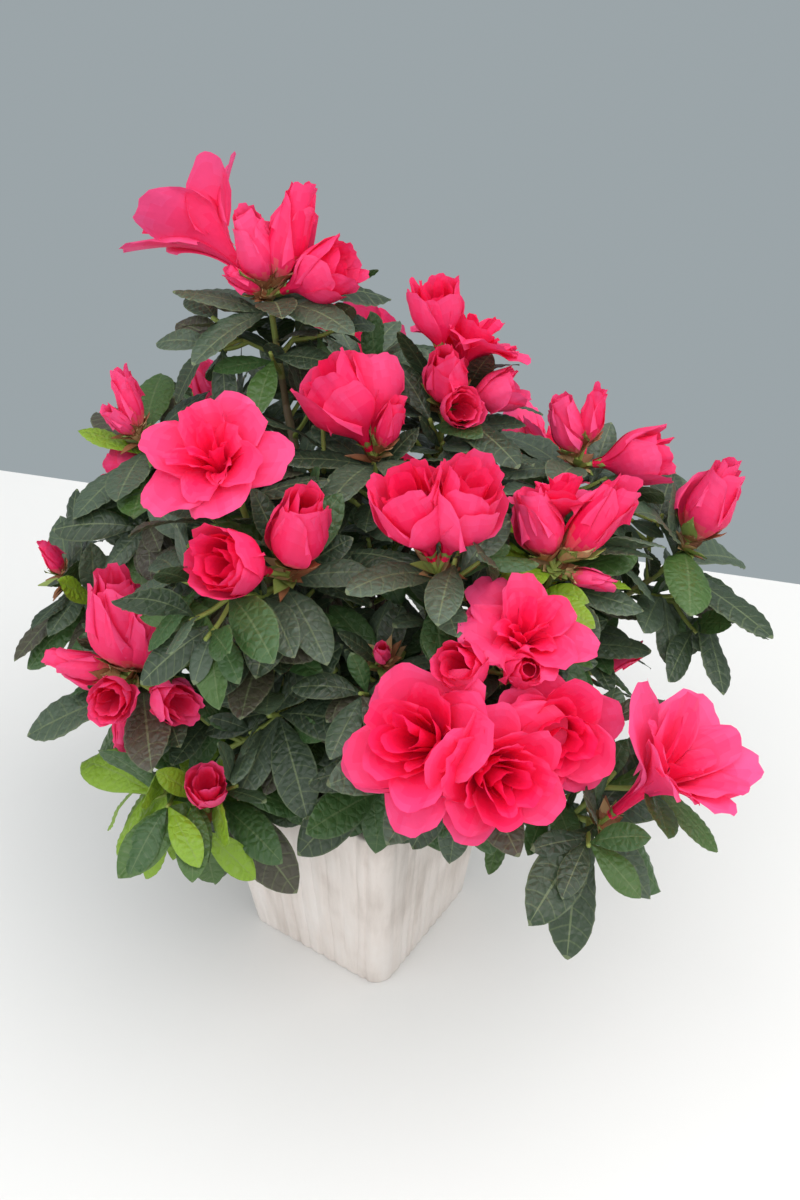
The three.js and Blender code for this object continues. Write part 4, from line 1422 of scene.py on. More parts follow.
def build_twigs(settings, grown):
    materials = [
        stem_finish("twig_brown", settings.twig_old),
        stem_finish("twig_olive", between(settings.twig_old, settings.twig_new, 0.5)),
        stem_finish("twig_green", settings.twig_new),
    ]
    piece = Piece("twigs", materials, "bark")
    green = TWIG_SHADES - 1

    def fine_course(twig, steps, share):
        radii = [share * radius for radius in refined(twig.radii, steps)]
        return smooth_path(twig.path, steps), radii

    for own in grown.sprays:
        steps, share, sides = MAIN_TWIG
        for twig in own.twigs:
            path, radii = fine_course(twig, steps, share)
            count = len(path)
            shades = [min(green, int(TWIG_SHADES * step / count + 0.4)) for step in range(count)]
            piece.tube([own.bough.path[-1], *path[1:]], radii, sides, shades)
    for twigs, (steps, share, sides) in (
        (grown.side_twigs, SIDE_TWIG),
        (grown.fine_twigs, FINE_TWIG),
    ):
        for _, twig in twigs:
            piece.tube(*fine_course(twig, steps, share), sides, green)
    for _, tip, axis, _, stalk in grown.blooms:
        path = [tip - axis * STALK["sunk"], tip + axis * (stalk * 0.5), tip + axis * stalk]
        piece.tube(path, STALK["radii"], STALK["sides"], green)
    piece.finish()


# --------------------------------------------------------------------- leaves

# Where the veins leave the midrib, how far the blade swells at each row between them, and
# its width along the leaf, all as shares.
VEINS = (0.15, 0.27, 0.39, 0.51, 0.63, 0.75, 0.86)
SWELL = (
    (0, 0.15, 0.21, 0.27, 0.33, 0.39, 0.45, 0.51, 0.57, 0.63, 0.69, 0.75, 0.805, 0.86, 0.93, 1),
    (0, 0, 1, 0, 1, 0, 1, 0, 1, 0, 1, 0, 1, 0, 0.6, 0),
)
BLADE = (
    (0, 0.07), (0.05, 0.07), (0.12, 0.2), (0.2, 0.42), (0.32, 0.72), (0.45, 0.92), (0.58, 1),
    (0.7, 0.96), (0.82, 0.77), (0.91, 0.5), (0.97, 0.22), (1, 0.03),
)
# A blade's columns of points from edge to edge, and its rows from foot to tip: three for each
# vein of a full leaf, and fewer for a small one inside the crown.
COLUMNS = np.array([-1, -0.93, -0.5, -0.045, 0.045, 0.5, 0.93, 1])
VEIN_ROWS = [row for vein in VEINS for row in (vein, vein + 0.013, vein + 0.06)]
FULL_ROWS = np.array([0, 0.05, 0.1, *VEIN_ROWS, 0.97, 1])
PLAIN_ROWS = np.array([0, 0.06, 0.16, 0.3, 0.46, 0.62, 0.78, 0.92, 1])
ON_VEIN = np.isin(np.arange(len(FULL_ROWS) - 1), 3 + 3 * np.arange(len(VEINS)))
PLAIN_BELOW = 24  # a fine leaf shorter than this is plain
RELIEF = {
    "stations": 25, "slant": 0.14, "bow": 1.4, "fade": 0.7, "foot": 0.06, "wave_turns": 9,
    "other_side": 2.1, "swell": 0.11, "swell_edge": 1.5, "midrib": 0.1,
}
LOOK = {"fold": (0.02, 0.3), "curl": (0.05, 0.34), "wave": (0.03, 0.12)}
# The tints of leaves, with how far their ribs take the veins' colour.
LEAF_TINTS = {"dark": 0.5, "grey": 0.5, "bronze": 0.5, "mid": 0.3, "fresh": 0.3, "bright": 0.3}
RIB_SHINE = 0.4
# How often each tint but the last two is dealt out, low down and high up in the crown.
DEEP_BELOW = 150
# High up the grey-green is dealt out nearly three times as often and the mid green less: partly the
# downy leaves' own grey, partly painted sheen where the light falls on the top of the crown.
DEEP_SHARES, UPPER_SHARES = (0.36, 0.12, 0.04, 0.4), (0.36, 0.34, 0.12, 0.15)
# How often a spray has a young leaf anywhere, and round its first tip: how often there, the
# length of the longest and how far from the tip.
YOUNG_SPRAYS = {
    "bottom_left": 0.36, "left_upper": 0.16, "left_outer": 0.1, "centre_right": 0.16,
    "low_left": 0.08, "crest": 0.06, "left_centre": 0.1,
}
YOUNG_ELSEWHERE, FINE_YOUNG, BRIGHT_BELOW = 0.03, 0.6, 27
YOUNG_TIPS = {
    "bottom_left": (0.7, 48, 24), "centre_right": (0.85, 34, 22), "left_upper": (0.6, 30, 15),
}


def blade_points(leaf, rows, look, seed):
    """Rows of points over a leaf: it swells between veins that slant from a sunken midrib."""
    side = across(leaf.direction, leaf.facing)
    half = leaf.length * LEAF["width_share"] / 2
    stations = np.linspace(0.02, 1, RELIEF["stations"])
    course = leaf_course(leaf.root, leaf.direction, leaf.length, leaf.droop, stations)
    places = np.array([leaf.root[:]] + [place[:] for place, _ in course])
    above = np.array([side.cross(leaf.direction)[:]] + [side.cross(h)[:] for _, h in course])
    marks = np.concatenate([[0], stations])
    edge = np.abs(COLUMNS)[None, :]
    bow = RELIEF["slant"] * np.abs(COLUMNS) ** RELIEF["bow"]
    bow = bow * np.sin(math.pi * rows[:, None] ** RELIEF["fade"])
    along = np.clip(rows[:, None] + bow, 0, 1)
    along[rows < RELIEF["foot"]] = rows[rows < RELIEF["foot"]][:, None]
    wide = half * np.interp(along, *zip(*BLADE))
    fold, curl, wave = look
    lift = wide * (fold * edge - curl * edge**3)
    other_side = (COLUMNS > 0)[None, :] * RELIEF["other_side"]
    lift += wave * half * edge * np.sin(along * RELIEF["wave_turns"] + seed + other_side)
    between_veins = np.interp(rows, *SWELL)[:, None] * edge * (RELIEF["swell_edge"] - edge)
    lift += RELIEF["swell"] * half * between_veins * (np.abs(COLUMNS) > RELIEF["midrib"])[None, :]
    centre = np.stack([np.interp(along, marks, places[:, axis]) for axis in range(3)], axis=-1)
    normal = np.stack([np.interp(along, marks, above[:, axis]) for axis in range(3)], axis=-1)
    spread = (wide * COLUMNS[None, :])[..., None] * np.array(side[:])
    return centre + spread + lift[..., None] * normal


def leaf_shades(tint, rows):
    """A material for each face of a blade: the leaf's own, its rib's or its veins'; its edge strip
    takes the veins' paler tint, the leaf's pale margin with a painted highlight along it.
    """
    blade = 3 * list(LEAF_TINTS).index(tint)
    rib, vein = blade + 1, blade + 2
    shades = np.full((len(rows) - 1, len(COLUMNS) - 1), blade)
    if rows is FULL_ROWS:
        shades[ON_VEIN] = vein
        # The edge columns take the veins' paler tint: the leaf's pale margin with a painted
        # highlight along it.
        shades[:, [0, -1]] = vein
    shades[:, len(COLUMNS) // 2 - 1] = rib
    shades[-1] = rib
    return shades


def build_leaves(settings, grown):
    materials = []
    for tint, share in LEAF_TINTS.items():
        colour = getattr(settings, tint)
        rib = between(colour, settings.vein, share)
        # The third material of each tint colours the veins and each leaf's edge strip: its pale
        # margin with a painted highlight along it.
        for part, shade, shine in (
            ("", colour, settings.shine),
            ("_rib", rib, RIB_SHINE),
            ("_vein", between(colour, rib, 0.5), RIB_SHINE),
        ):
            materials.append(leaf_finish(f"leaf_{tint}{part}", shade, settings.roughness, shine))
    names = [f"foliage_{own.name}" for own in grown.sprays]
    piece = Piece("leaves", materials, "foliage", names)
    random = seeded(5)
    for own, leaf, fine in grown.leaves:
        rows = PLAIN_ROWS if fine and leaf.length < PLAIN_BELOW else FULL_ROWS
        look = [within(span, random) for span in LOOK.values()]
        points = blade_points(leaf, rows, look, 6 * random())
        piece.grid(points, leaf_shades(pick_tint(own, leaf, fine, random), rows))
    piece.finish()


def pick_tint(own, leaf, fine, random):
    """Which tint a leaf takes: dark and grey-green mostly, fresher inside and on new shoots."""
    share, longest, reach = YOUNG_TIPS.get(own.name, (0, 0, 0))
    if leaf.length < longest and (leaf.root - own.twigs[0].path[-1]).length < reach:
        if random() < share:
            return "bright"
    young = YOUNG_SPRAYS.get(own.name, YOUNG_ELSEWHERE) * (FINE_YOUNG if fine else 1)
    if random() < young:
        return "bright" if leaf.length < BRIGHT_BELOW else "fresh"
    draw = random()
    # Higher up more leaves take the grey-green, which paints the sheen of light on the crown's top
    # over the leaves' own downy grey.
    shares = DEEP_SHARES if leaf.root.z < DEEP_BELOW else UPPER_SHARES
    for tint, share in zip(LEAF_TINTS, shares):
        draw -= share
        if draw < 0:
            return tint
    return "fresh"


# --------------------------------------------------------------------- blossom

# A whorl of petals: how many, how far its throat and rim open and where they stand, its
# petals' half width, their ruffle, how their sides cup, the turn of the whorl in degrees,
# its tone and how far its petals wrap round, all sizes as shares of the bloom's size.
Whorl = namedtuple("Whorl", "petals throat throat_at rim rim_at half ruffle cup turn tone wrap")
# The inner whorls' lower tones deepen a bloom's heart: partly its own deeper colour there, partly
# painted shade where the petals crowd over it.
WHORLS = {
    "open": (
        Whorl(5, 0.42, 0.28, 1.04, 0.36, 0.80, 0.082, -0.03, 0, 4.6, 1.0),
        Whorl(5, 0.36, 0.32, 0.80, 0.54, 0.66, 0.085, 0.03, 36, 3.6, 1.0),
        Whorl(4, 0.22, 0.34, 0.46, 0.64, 0.38, 0.075, 0.08, 20, 2.4, 1.1),
        Whorl(3, 0.12, 0.34, 0.22, 0.68, 0.26, 0.060, 0.08, 50, 1.4, 1.3),
    ),
    "rose": (
        Whorl(5, 0.46, 0.22, 1.06, 0.42, 0.76, 0.050, -0.02, 0, 4.8, 1.0),
        Whorl(4, 0.42, 0.28, 0.84, 0.60, 0.72, 0.055, 0.04, 30, 3.8, 1.1),
        Whorl(4, 0.34, 0.30, 0.56, 0.74, 0.54, 0.050, 0.08, 75, 2.8, 1.2),
        Whorl(4, 0.24, 0.30, 0.34, 0.80, 0.40, 0.040, 0.08, 20, 1.8, 1.5),
        Whorl(3, 0.13, 0.30, 0.17, 0.82, 0.30, 0.025, 0.06, 40, 0.8, 1.9),
    ),
    "funnel": (
        Whorl(5, 0.30, 0.42, 0.80, 0.88, 0.60, 0.060, -0.03, 0, 5.2, 1.1),
        Whorl(5, 0.24, 0.46, 0.56, 0.84, 0.48, 0.060, 0.03, 36, 3.8, 1.1),
        Whorl(3, 0.12, 0.46, 0.24, 0.80, 0.28, 0.050, 0.06, 10, 2.4, 1.2),
    ),
    "cup": (
        Whorl(4, 0.40, 0.40, 0.38, 0.86, 0.56, 0.035, 0.02, 0, 4.8, 1.25),
        Whorl(4, 0.35, 0.42, 0.33, 0.94, 0.50, 0.045, 0.03, 48, 3.8, 1.3),
        Whorl(4, 0.27, 0.44, 0.22, 0.92, 0.42, 0.045, 0.04, 15, 2.8, 1.5),
        Whorl(3, 0.16, 0.44, 0.11, 0.86, 0.32, 0.030, 0.04, 65, 1.6, 1.9),
    ),
    "half": (
        Whorl(3, 0.27, 0.38, 0.115, 0.87, 0.40, 0.034, 0.00, 0, 5.2, 1.5),
        Whorl(3, 0.24, 0.42, 0.075, 0.97, 0.36, 0.034, 0.00, 64, 4.6, 1.6),
        Whorl(3, 0.17, 0.48, 0.03, 1.00, 0.26, 0.020, 0.00, 30, 4.0, 1.9),
    ),
    "bud": (
        Whorl(3, 0.19, 0.36, 0.085, 0.88, 0.30, 0.014, 0.00, 0, 5.2, 1.5),
        Whorl(3, 0.17, 0.42, 0.050, 1.00, 0.26, 0.014, 0.00, 60, 4.2, 1.7),
    ),
}
# How far a petal twists round the bloom's axis, and its width from foot to rim as a share.
TWIST = {"open": 0.1, "rose": 0.35, "funnel": 0.2, "cup": 0.45, "half": 0.8, "bud": 1.1}
PETAL_WIDTH = (
    (0, 0.16), (0.12, 0.22), (0.25, 0.42), (0.4, 0.7), (0.55, 0.9), (0.7, 1.0), (0.85, 1.0),
    (1, 0.88),
)
CLOSED = ("half", "bud")
# How much paler than its whorls' tones each bloom is, in steps of tint: at random, by kind,
# and if it is small, which also makes it longer than its solid.
MOOD, KIND_MOODS = (-0.7, 0.9), {"funnel": 0.9, "half": 0.3}
SMALL = {"below": 17, "paler": 2.6, "grown": 1.22}
PLAIN_BLOOM = {"up_to": 20, "fewer_faces": 3, "fewest": 6}  # smaller blooms have less detail
PETAL_TINTS = 12
FOOT_TINTS = (0, 0.35, 0.7)
FOOT_BAND = 0.12  # how far up a closed bloom each of its foot's tints goes, as a share
# What differs from petal to petal, within limits.
PETALS = {
    "wander": 13, "closed_wander": 6, "reach": (0.84, 1.08), "nod": (-0.13, 0.2),
    "width": (0.94, 1.08), "waves": (1.1, 1.9), "lopsided": (-0.2, 0.2), "rounded": (0.34, 0.46),
    "streak": (-0.7, 0.7),
}


def petal_course(size, stalk, whorl, kind):
    """Distance along and out from the bloom's axis, evenly from the petal's foot to its rim."""
    foot = Vector((stalk - 0.3, 1.0, 0))
    if kind in CLOSED:
        start, waist = stalk, Vector((stalk + 0.1 * size, whorl.throat * size * 0.5, 0))
    else:
        start = stalk + BLOOMS[kind]["tube"] * size
        waist = Vector((start, min(2.4, size * whorl.throat * 0.6), 0))
    marks = [
        foot,
        waist,
        Vector((start + whorl.throat_at * size, whorl.throat * size, 0)),
        Vector((start + whorl.rim_at * size, whorl.rim * size, 0)),
    ]
    path = smooth_path(marks, 8)
    steps = np.cumsum([0] + [(b - a).length for a, b in zip(path, path[1:])])
    return steps / steps[-1], np.array([p.x for p in path]), np.array([p.y for p in path])


def petal_reach(u, v, waves, phase, closed, random):
    """How far along its course each point of a petal lies, up to its rounded, ragged rim."""
    lopsided = within(PETALS["lopsided"], random)
    rounded = within(PETALS["rounded"], random) * np.abs(u - lopsided) ** (1.9 if closed else 2.3)
    rounded = rounded * v**1.5
    if closed:
        rounded = rounded * 1.05 + within((0, 0.1), random) * v
    ragged = 0.014 * np.sin(2.6 * waves * math.pi * u + phase) * v**4
    ragged += 0.006 * np.sin(7.1 * waves * u + 2.3 * phase) * v**6
    return np.clip(v * (1 - rounded + ragged), 0, 1)


def petal_relief(u, v, size, whorl, waves, phase, swing, closed):
    """How far a petal's ruffle, creases and cup lift each point off its course."""
    ruffle = whorl.ruffle
    shift = ruffle * size * v**1.8 * np.sin(waves * math.pi * u + phase) * (0.35 + 0.65 * u**2)
    shift += 0.34 * ruffle * size * v**5 * np.sin(3.1 * waves * math.pi * u + 2 * phase)
    crease = 0.013 if closed else 0.008
    shift += crease * size * v * np.sin(13 * u + 3 * v + phase) * (1 - 0.5 * np.abs(u))
    shift += size * (whorl.cup * u**2 * v + 0.05 * swing * u * v**2) + size * 0.022 * u
    shift -= size * (0.045 * v**6 + 0.015 * (1 - np.abs(u)) ** 2 * v)
    return shift


def petal_points(place, axis, angle, size, course, whorl, kind, detail, random):
    """Rows of points over a petal, from its foot to its rim."""
    closed = kind in CLOSED
    v = np.linspace(0, 1, detail[0] + 1)[:, None]
    u = np.linspace(-1, 1, detail[1] + 1)[None, :]
    phase, swing = TURN * random(), within((-1, 1), random)
    waves = within(PETALS["waves"], random)
    reach = petal_reach(u, v, waves, phase, closed, random)
    marks, ups, outs = course
    out, up = np.interp(reach, marks, outs), np.interp(reach, marks, ups)
    slope_out = np.interp(reach, marks, np.gradient(outs, marks))
    slope_up = np.interp(reach, marks, np.gradient(ups, marks))
    steep = np.hypot(slope_out, slope_up)
    inward, upward = -slope_up / steep, slope_out / steep
    wide = size * whorl.half * np.interp(v, *zip(*PETAL_WIDTH)) * within(PETALS["width"], random)
    sweep = whorl.wrap * np.tanh(wide * u / np.maximum(out, 0.9) / whorl.wrap)
    shift = petal_relief(u, v, size, whorl, waves, phase, swing, closed)
    out = np.maximum(out + inward * shift, 0.15)
    return round_axis(place, axis, angle + TWIST[kind] * v + sweep, up + upward * shift, out)


def round_axis(place, axis, theta, up, out):
    """Points round an axis, from each one's angle and its distances along and out."""
    side, lift = square_to(axis)
    radial = np.cos(theta)[..., None] * np.array(side[:])
    radial = radial + np.sin(theta)[..., None] * np.array(lift[:])
    return np.array(place[:]) + up[..., None] * np.array(axis[:]) + out[..., None] * radial


def petal_shades(level, detail, closed, random):
    """A tint for each face of a petal, streaked along it and paler towards its rim, with painted
    shade at its foot and a painted highlight at its rim.
    """
    rows, cols = detail
    streak = np.array([within(PETALS["streak"], random) for _ in range(cols)])
    streak = (streak + np.roll(streak, 1)) / 2
    v = (np.arange(rows) + 0.5)[:, None] / rows
    # Deeper at the foot and paler up to the rim, rising most at the rim itself: the petal's own
    # deeper throat and paler rim, with painted shade at the foot and a painted highlight along the
    # rim.
    level = level + 3.4 * v + 1.6 * v**6 + streak[None, :] * (0.4 + v)
    shades = np.clip(np.round(level), 0, PETAL_TINTS - 1).astype(int)
    if not closed:
        return shades
    foot = np.floor((v + streak[None, :] * FOOT_BAND) / FOOT_BAND).astype(int)
    last = len(FOOT_TINTS) - 1
    return np.where(foot <= last, PETAL_TINTS + np.clip(foot, 0, last), shades)


def petal_materials(settings):
    materials = []
    # The ramp runs from deep, the petals in shade as well as their deeper heart, through rich,
    # their lit colour, to pale, their brightest: painted shade and highlight over the petals' own
    # tones.
    for step in range(PETAL_TINTS):
        share = step / (PETAL_TINTS - 1)
        if share < 0.5:
            colour = between(settings.deep, settings.rich, share * 2)
        else:
            colour = between(settings.rich, settings.pale, share * 2 - 1)
        materials.append(petal_finish(f"petal_{step}", colour, settings.roughness))
    for step, share in enumerate(FOOT_TINTS):
        colour = between(settings.base, settings.rich, share)
        materials.append(petal_finish(f"petal_foot_{step}", colour, settings.roughness))
    return materials


def build_blossom(settings, grown):
    piece = Piece("petals", petal_materials(settings), "foliage")
    random = seeded(311)
    for kind, tip, axis, size, stalk in grown.blooms:
        closed = kind in CLOSED
        mood = within(MOOD, random) + KIND_MOODS.get(kind, 0)
        if size < SMALL["below"]:
            mood += SMALL["paler"]
            size *= SMALL["grown"]
        whorls, detail = WHORLS[kind], (settings.rows, settings.columns)
        if kind == "cup" and size < PLAIN_BLOOM["up_to"]:
            whorls = whorls[:-1]
        if size <= PLAIN_BLOOM["up_to"]:
            fewer, fewest = PLAIN_BLOOM["fewer_faces"], PLAIN_BLOOM["fewest"]
            detail = [max(fewest, count - fewer) for count in detail]
        wander = PETALS["closed_wander" if closed else "wander"]
        for whorl in whorls:
            marks, ups, outs = petal_course(size, stalk, whorl, kind)
            for index in range(whorl.petals):
                turn = 360 * index / whorl.petals + within((-wander, wander), random)
                angle = math.radians(whorl.turn + turn)
                share, nod = within(PETALS["reach"], random), within(PETALS["nod"], random)
                raised = ups if closed else ups + size * nod * marks**2
                course = (marks, raised, outs * share)
                points = petal_points(
                    tip, axis, angle, size, course, whorl, kind, detail, random
                )
                piece.grid(points, petal_shades(whorl.tone + mood, detail, closed, random))
    piece.finish()


# ---------------------------------------------------------------------- scales

CALYX = {
    "count": 5, "wander": (-12, 12), "length": (3.4, 5.2), "half_width": 1.7, "lean": 42,
    "hug": 0.3, "sunk": 0.4,
}
SHEATH = {
    "count": 10, "wander": (-16, 16), "height": (0.2, 0.44), "highest": 14, "shrink": 0.05,
    "half_width": 0.11, "wrap": 1.4,
}
SCALES = {
    "wander": (-14, 14), "from_tip": (0, 2.5), "length": (7, 13), "lean": (44, 82),
    "half_width": (2.0, 3.2),
}
TAN, BROWN, GREEN = range(3)
BRACT_TINTS = (TAN, BROWN, GREEN)


def scale_points(place, axis, angle, length, wide, lean, hug=0.0):
    """A papery scale that leans out from an axis, hollow along its middle."""
    out = leaning(axis, lean, angle)
    up = (axis - out * axis.dot(out)).normalized()
    side = out.cross(up)
    rows = []
    for row in range(6):
        v = row / 5
        middle = place + out * (length * v) + axis * (hug * length * v * v)
        half = wide * (math.sin(math.pi * min(1, v * 0.8 + 0.16)) ** 0.8) * (1 - v**5)
        rows.append([
            (middle + side * (half * u) + up * (0.5 * half * (u * u) + 0.02 * length * u))[:]
            for u in (-1, -0.5, 0, 0.5, 1)
        ])
    return np.array(rows)


def sheath_points(tip, axis, angle, course, stalk, height, wide):
    """A scale that lies close round the foot of a bud."""
    _, ups, outs = course
    v = np.linspace(0, 1, 8)[:, None]
    u = np.linspace(-1, 1, 7)[None, :]
    up = stalk - 0.5 + (height + 0.5) * v * (1 - 0.25 * u**2 * v)
    out = np.interp(up, ups, outs) * 1.07 + 0.55 + 0.9 * v**3
    half = wide * np.sin(math.pi * (0.22 + 0.75 * v)) ** 0.8
    wrap = SHEATH["wrap"]
    theta = angle + wrap * np.tanh(half * u / np.maximum(out, 1.2) / wrap)
    return round_axis(tip, axis, theta, up, out + 0.25 * u)


def add_calyx(piece, tip, axis, stalk, random):
    foot = tip + axis * (stalk - CALYX["sunk"])
    for index in range(CALYX["count"]):
        angle = 360 / CALYX["count"] * index + within(CALYX["wander"], random)
        length = within(CALYX["length"], random)
        points = scale_points(
            foot, axis, angle, length, CALYX["half_width"], CALYX["lean"], CALYX["hug"]
        )
        piece.grid(points, GREEN)


def add_sheath(piece, kind, tip, axis, size, stalk, random):
    course = petal_course(size, stalk, WHORLS[kind][0], kind)
    for index in range(SHEATH["count"]):
        angle = math.radians(GOLDEN_TURN * index + within(SHEATH["wander"], random))
        height = min(size * within(SHEATH["height"], random), SHEATH["highest"])
        height *= 1 - SHEATH["shrink"] * index
        wide = size * SHEATH["half_width"]
        points = sheath_points(tip, axis, angle, course, stalk, height, wide)
        piece.grid(points, BRACT_TINTS[index % 3])


def add_scales(piece, twig, count, random):
    """The old bud scales round the tip of a flowering shoot."""
    for index in range(count):
        angle = GOLDEN_TURN * index + within(SCALES["wander"], random)
        place = twig.path[-1] - twig.arriving * within(SCALES["from_tip"], random)
        length = within(SCALES["length"], random)
        lean = within(SCALES["lean"], random)
        wide = within(SCALES["half_width"], random)
        points = scale_points(place, twig.arriving, angle, length, wide, lean)
        piece.grid(points, BRACT_TINTS[index % 3])


def build_bracts(settings, grown):
    """The papery scales and green calyx at the foot of each bloom."""
    materials = [
        stem_finish("bract_tan", settings.tan),
        stem_finish("bract_brown", settings.brown),
        stem_finish("calyx_green", settings.green),
    ]
    piece = Piece("bracts", materials, "foliage")
    random = seeded(907)
    for kind, tip, axis, size, stalk in grown.blooms:
        add_calyx(piece, tip, axis, stalk, random)
        if kind in CLOSED:
            add_sheath(piece, kind, tip, axis, size, stalk, random)
    for own in grown.sprays:
        for plan, twig in zip(own.plan.shoots, own.twigs):
            if plan.blooms:
                add_scales(piece, twig, settings.scales, random)
    piece.finish()


# ---------------------------------------------------------- settings and operators


def tint(name, description, colour):
    """A colour that the sidebar shows."""
    return FloatVectorProperty(
        name=name, description=description, default=colour, size=3, subtype="COLOR", min=0, max=1
    )


class PlanterSettings(bpy.types.PropertyGroup):
    """Sizes and colours of the planter."""

    ribs: IntProperty(name="Ribs", description="Upright ribs on each face", default=10, min=2)
    rib_depth: FloatProperty(
        name="Rib depth", description="Depth of the deepest groove, in millimetres", default=0.9
    )
    wear: FloatProperty(
        name="Wear", description="Unevenness of the ribs, in millimetres", default=0.22
    )
    roughness: FloatProperty(
        name="Roughness", description="Roughness of the glaze", default=0.62, subtype="FACTOR"
    )
    light: tint("Light", "Raised parts of the glaze", (0.745, 0.67, 0.62))
    dark: tint("Dark", "Hollows of the glaze", (0.555, 0.48, 0.43))


class SoilSettings(bpy.types.PropertyGroup):
    """Colours of the compost."""

    light: tint("Light", "Dry crumbs", (0.10, 0.066, 0.043))
    dark: tint("Dark", "Moist hollows", (0.018, 0.011, 0.008))
    chips: tint("Chips", "Bark chips", (0.16, 0.09, 0.05))
    chip_count: IntProperty(name="Chips", description="Bark chips on the soil", default=260)


class WoodSettings(bpy.types.PropertyGroup):
    """Relief and colours of the trunk, boughs and twigs."""

    relief: FloatProperty(
        name="Relief", description="Depth of the bark as a share of the limb's radius", default=0.14
    )
    bark_light: tint("Bark ridges", "Raised bark", (0.20, 0.145, 0.10))
    bark_dark: tint("Bark furrows", "Furrows in the bark", (0.05, 0.034, 0.024))
    young_bark: tint("Young bark", "Bark near a bough's tip", (0.20, 0.17, 0.075))
    twig_old: tint("Old twig", "Foot of a twig", (0.17, 0.12, 0.06))
    twig_new: tint("New twig", "Tip of a twig", (0.26, 0.33, 0.07))


class FoliageSettings(bpy.types.PropertyGroup):
    """How densely the crown is filled, and the leaves' colours."""

    fine_shoots: IntProperty(
        name="Fine shoots", description="Finer shoots grown on each main twig", default=6, min=0
    )
    bough_shoots: IntProperty(
        name="Bough shoots", description="Finer shoots grown on each bough", default=5, min=0
    )
    roughness: FloatProperty(
        name="Roughness", description="Roughness of a leaf", default=0.44, subtype="FACTOR"
    )
    shine: FloatProperty(
        name="Shine", description="Reflection of a leaf's surface", default=0.5, subtype="FACTOR"
    )
    dark: tint("Dark leaves", "Mature leaves", (0.034, 0.057, 0.031))
    # The grey-green is partly the downy leaves' own colour and partly painted sheen, the grey cast
    # that soft light lays on their tops.
    grey: tint("Grey leaves", "Downy grey-green leaves", (0.070, 0.104, 0.066))
    bronze: tint("Bronze leaves", "Leaves with a purplish cast", (0.068, 0.060, 0.042))
    mid: tint("Green leaves", "Leaves lower in the crown", (0.042, 0.100, 0.028))
    fresh: tint("Fresh leaves", "Half-grown leaves", (0.058, 0.125, 0.026))
    bright: tint("Bright leaves", "New leaves", (0.22, 0.37, 0.02))
    vein: tint("Veins", "Midrib and veins", (0.23, 0.28, 0.14))


class BlossomSettings(bpy.types.PropertyGroup):
    """Detail and colours of the flowers, buds and scales."""

    rows: IntProperty(name="Rows", description="Faces along a petal", default=13, min=4)
    columns: IntProperty(name="Columns", description="Faces across a petal", default=16, min=4)
    scales: IntProperty(name="Scales", description="Papery scales under each cluster", default=11)
    roughness: FloatProperty(
        name="Roughness", description="Roughness of a petal", default=0.55, subtype="FACTOR"
    )
    # Deep stands for the petals in shade as well as their deeper heart, rich for their lit colour
    # and pale for their brightest, so these tints paint shade and highlight on the blooms.
    deep: tint("Deep", "Petals in the heart of a bloom", (0.78, 0.003, 0.055))
    rich: tint("Rich", "Middle of a petal", (1.0, 0.017, 0.130))
    pale: tint("Pale", "Rim of a petal", (1.0, 0.105, 0.31))
    base: tint("Foot", "Pale foot of a bud", (0.75, 0.30, 0.22))
    tan: tint("Tan scales", "Dry scales", (0.50, 0.32, 0.15))
    brown: tint("Brown scales", "Old scales", (0.30, 0.12, 0.05))
    green: tint("Calyx", "Green calyx", (0.26, 0.34, 0.08))


class StageSettings(bpy.types.PropertyGroup):
    """Floor, backdrop, lights and camera."""

    floor: tint("Floor", "Pale table top", (0.81, 0.795, 0.78))
    wall: tint("Backdrop", "Colour beyond the table", (0.33, 0.375, 0.395))
    distance: FloatProperty(
        name="Distance", description="From the camera to its target", default=0.54,
        subtype="DISTANCE", unit="LENGTH",
    )
    heading: FloatProperty(
        name="Heading", description="Turn of the camera round the plant",
        default=math.radians(34), subtype="ANGLE",
    )
    lift: FloatProperty(
        name="Height", description="Angle of the camera above the floor",
        default=math.radians(38), subtype="ANGLE",
    )


def grown_crown():
    """The crown, as densely grown as the settings say."""
    foliage = bpy.context.scene.azalea_foliage
    return crown(foliage.fine_shoots, foliage.bough_shoots)


class AZALEA_OT_planter(bpy.types.Operator):
    """Builds the ribbed square planter"""

    bl_idname = "azalea.planter"
    bl_label = "Planter"

    def execute(self, context):
        build_planter(context.scene.azalea_planter)
        return {"FINISHED"}


class AZALEA_OT_soil(bpy.types.Operator):
    """Builds the compost with its bark chips"""

    bl_idname = "azalea.soil"
    bl_label = "Soil"

    def execute(self, context):
        build_soil(context.scene.azalea_soil)
        return {"FINISHED"}


class AZALEA_OT_limbs(bpy.types.Operator):
    """Builds the bark of the trunk and boughs"""

    bl_idname = "azalea.limbs"
    bl_label = "Trunk and boughs"

    def execute(self, context):
        build_limbs(context.scene.azalea_wood, grown_crown())
        return {"FINISHED"}


class AZALEA_OT_twigs(bpy.types.Operator):
    """Builds the twigs and the stalks of the blooms"""

    bl_idname = "azalea.twigs"
    bl_label = "Twigs"

    def execute(self, context):
        build_twigs(context.scene.azalea_wood, grown_crown())
        return {"FINISHED"}


class AZALEA_OT_leaves(bpy.types.Operator):
    """Builds the leaves"""

    bl_idname = "azalea.leaves"
    bl_label = "Leaves"

    def execute(self, context):
        build_leaves(context.scene.azalea_foliage, grown_crown())
        return {"FINISHED"}


class AZALEA_OT_blossom(bpy.types.Operator):
    """Builds the petals of the flowers and buds"""

    bl_idname = "azalea.blossom"
    bl_label = "Blossom"

    def execute(self, context):
        build_blossom(context.scene.azalea_blossom, grown_crown())
        return {"FINISHED"}


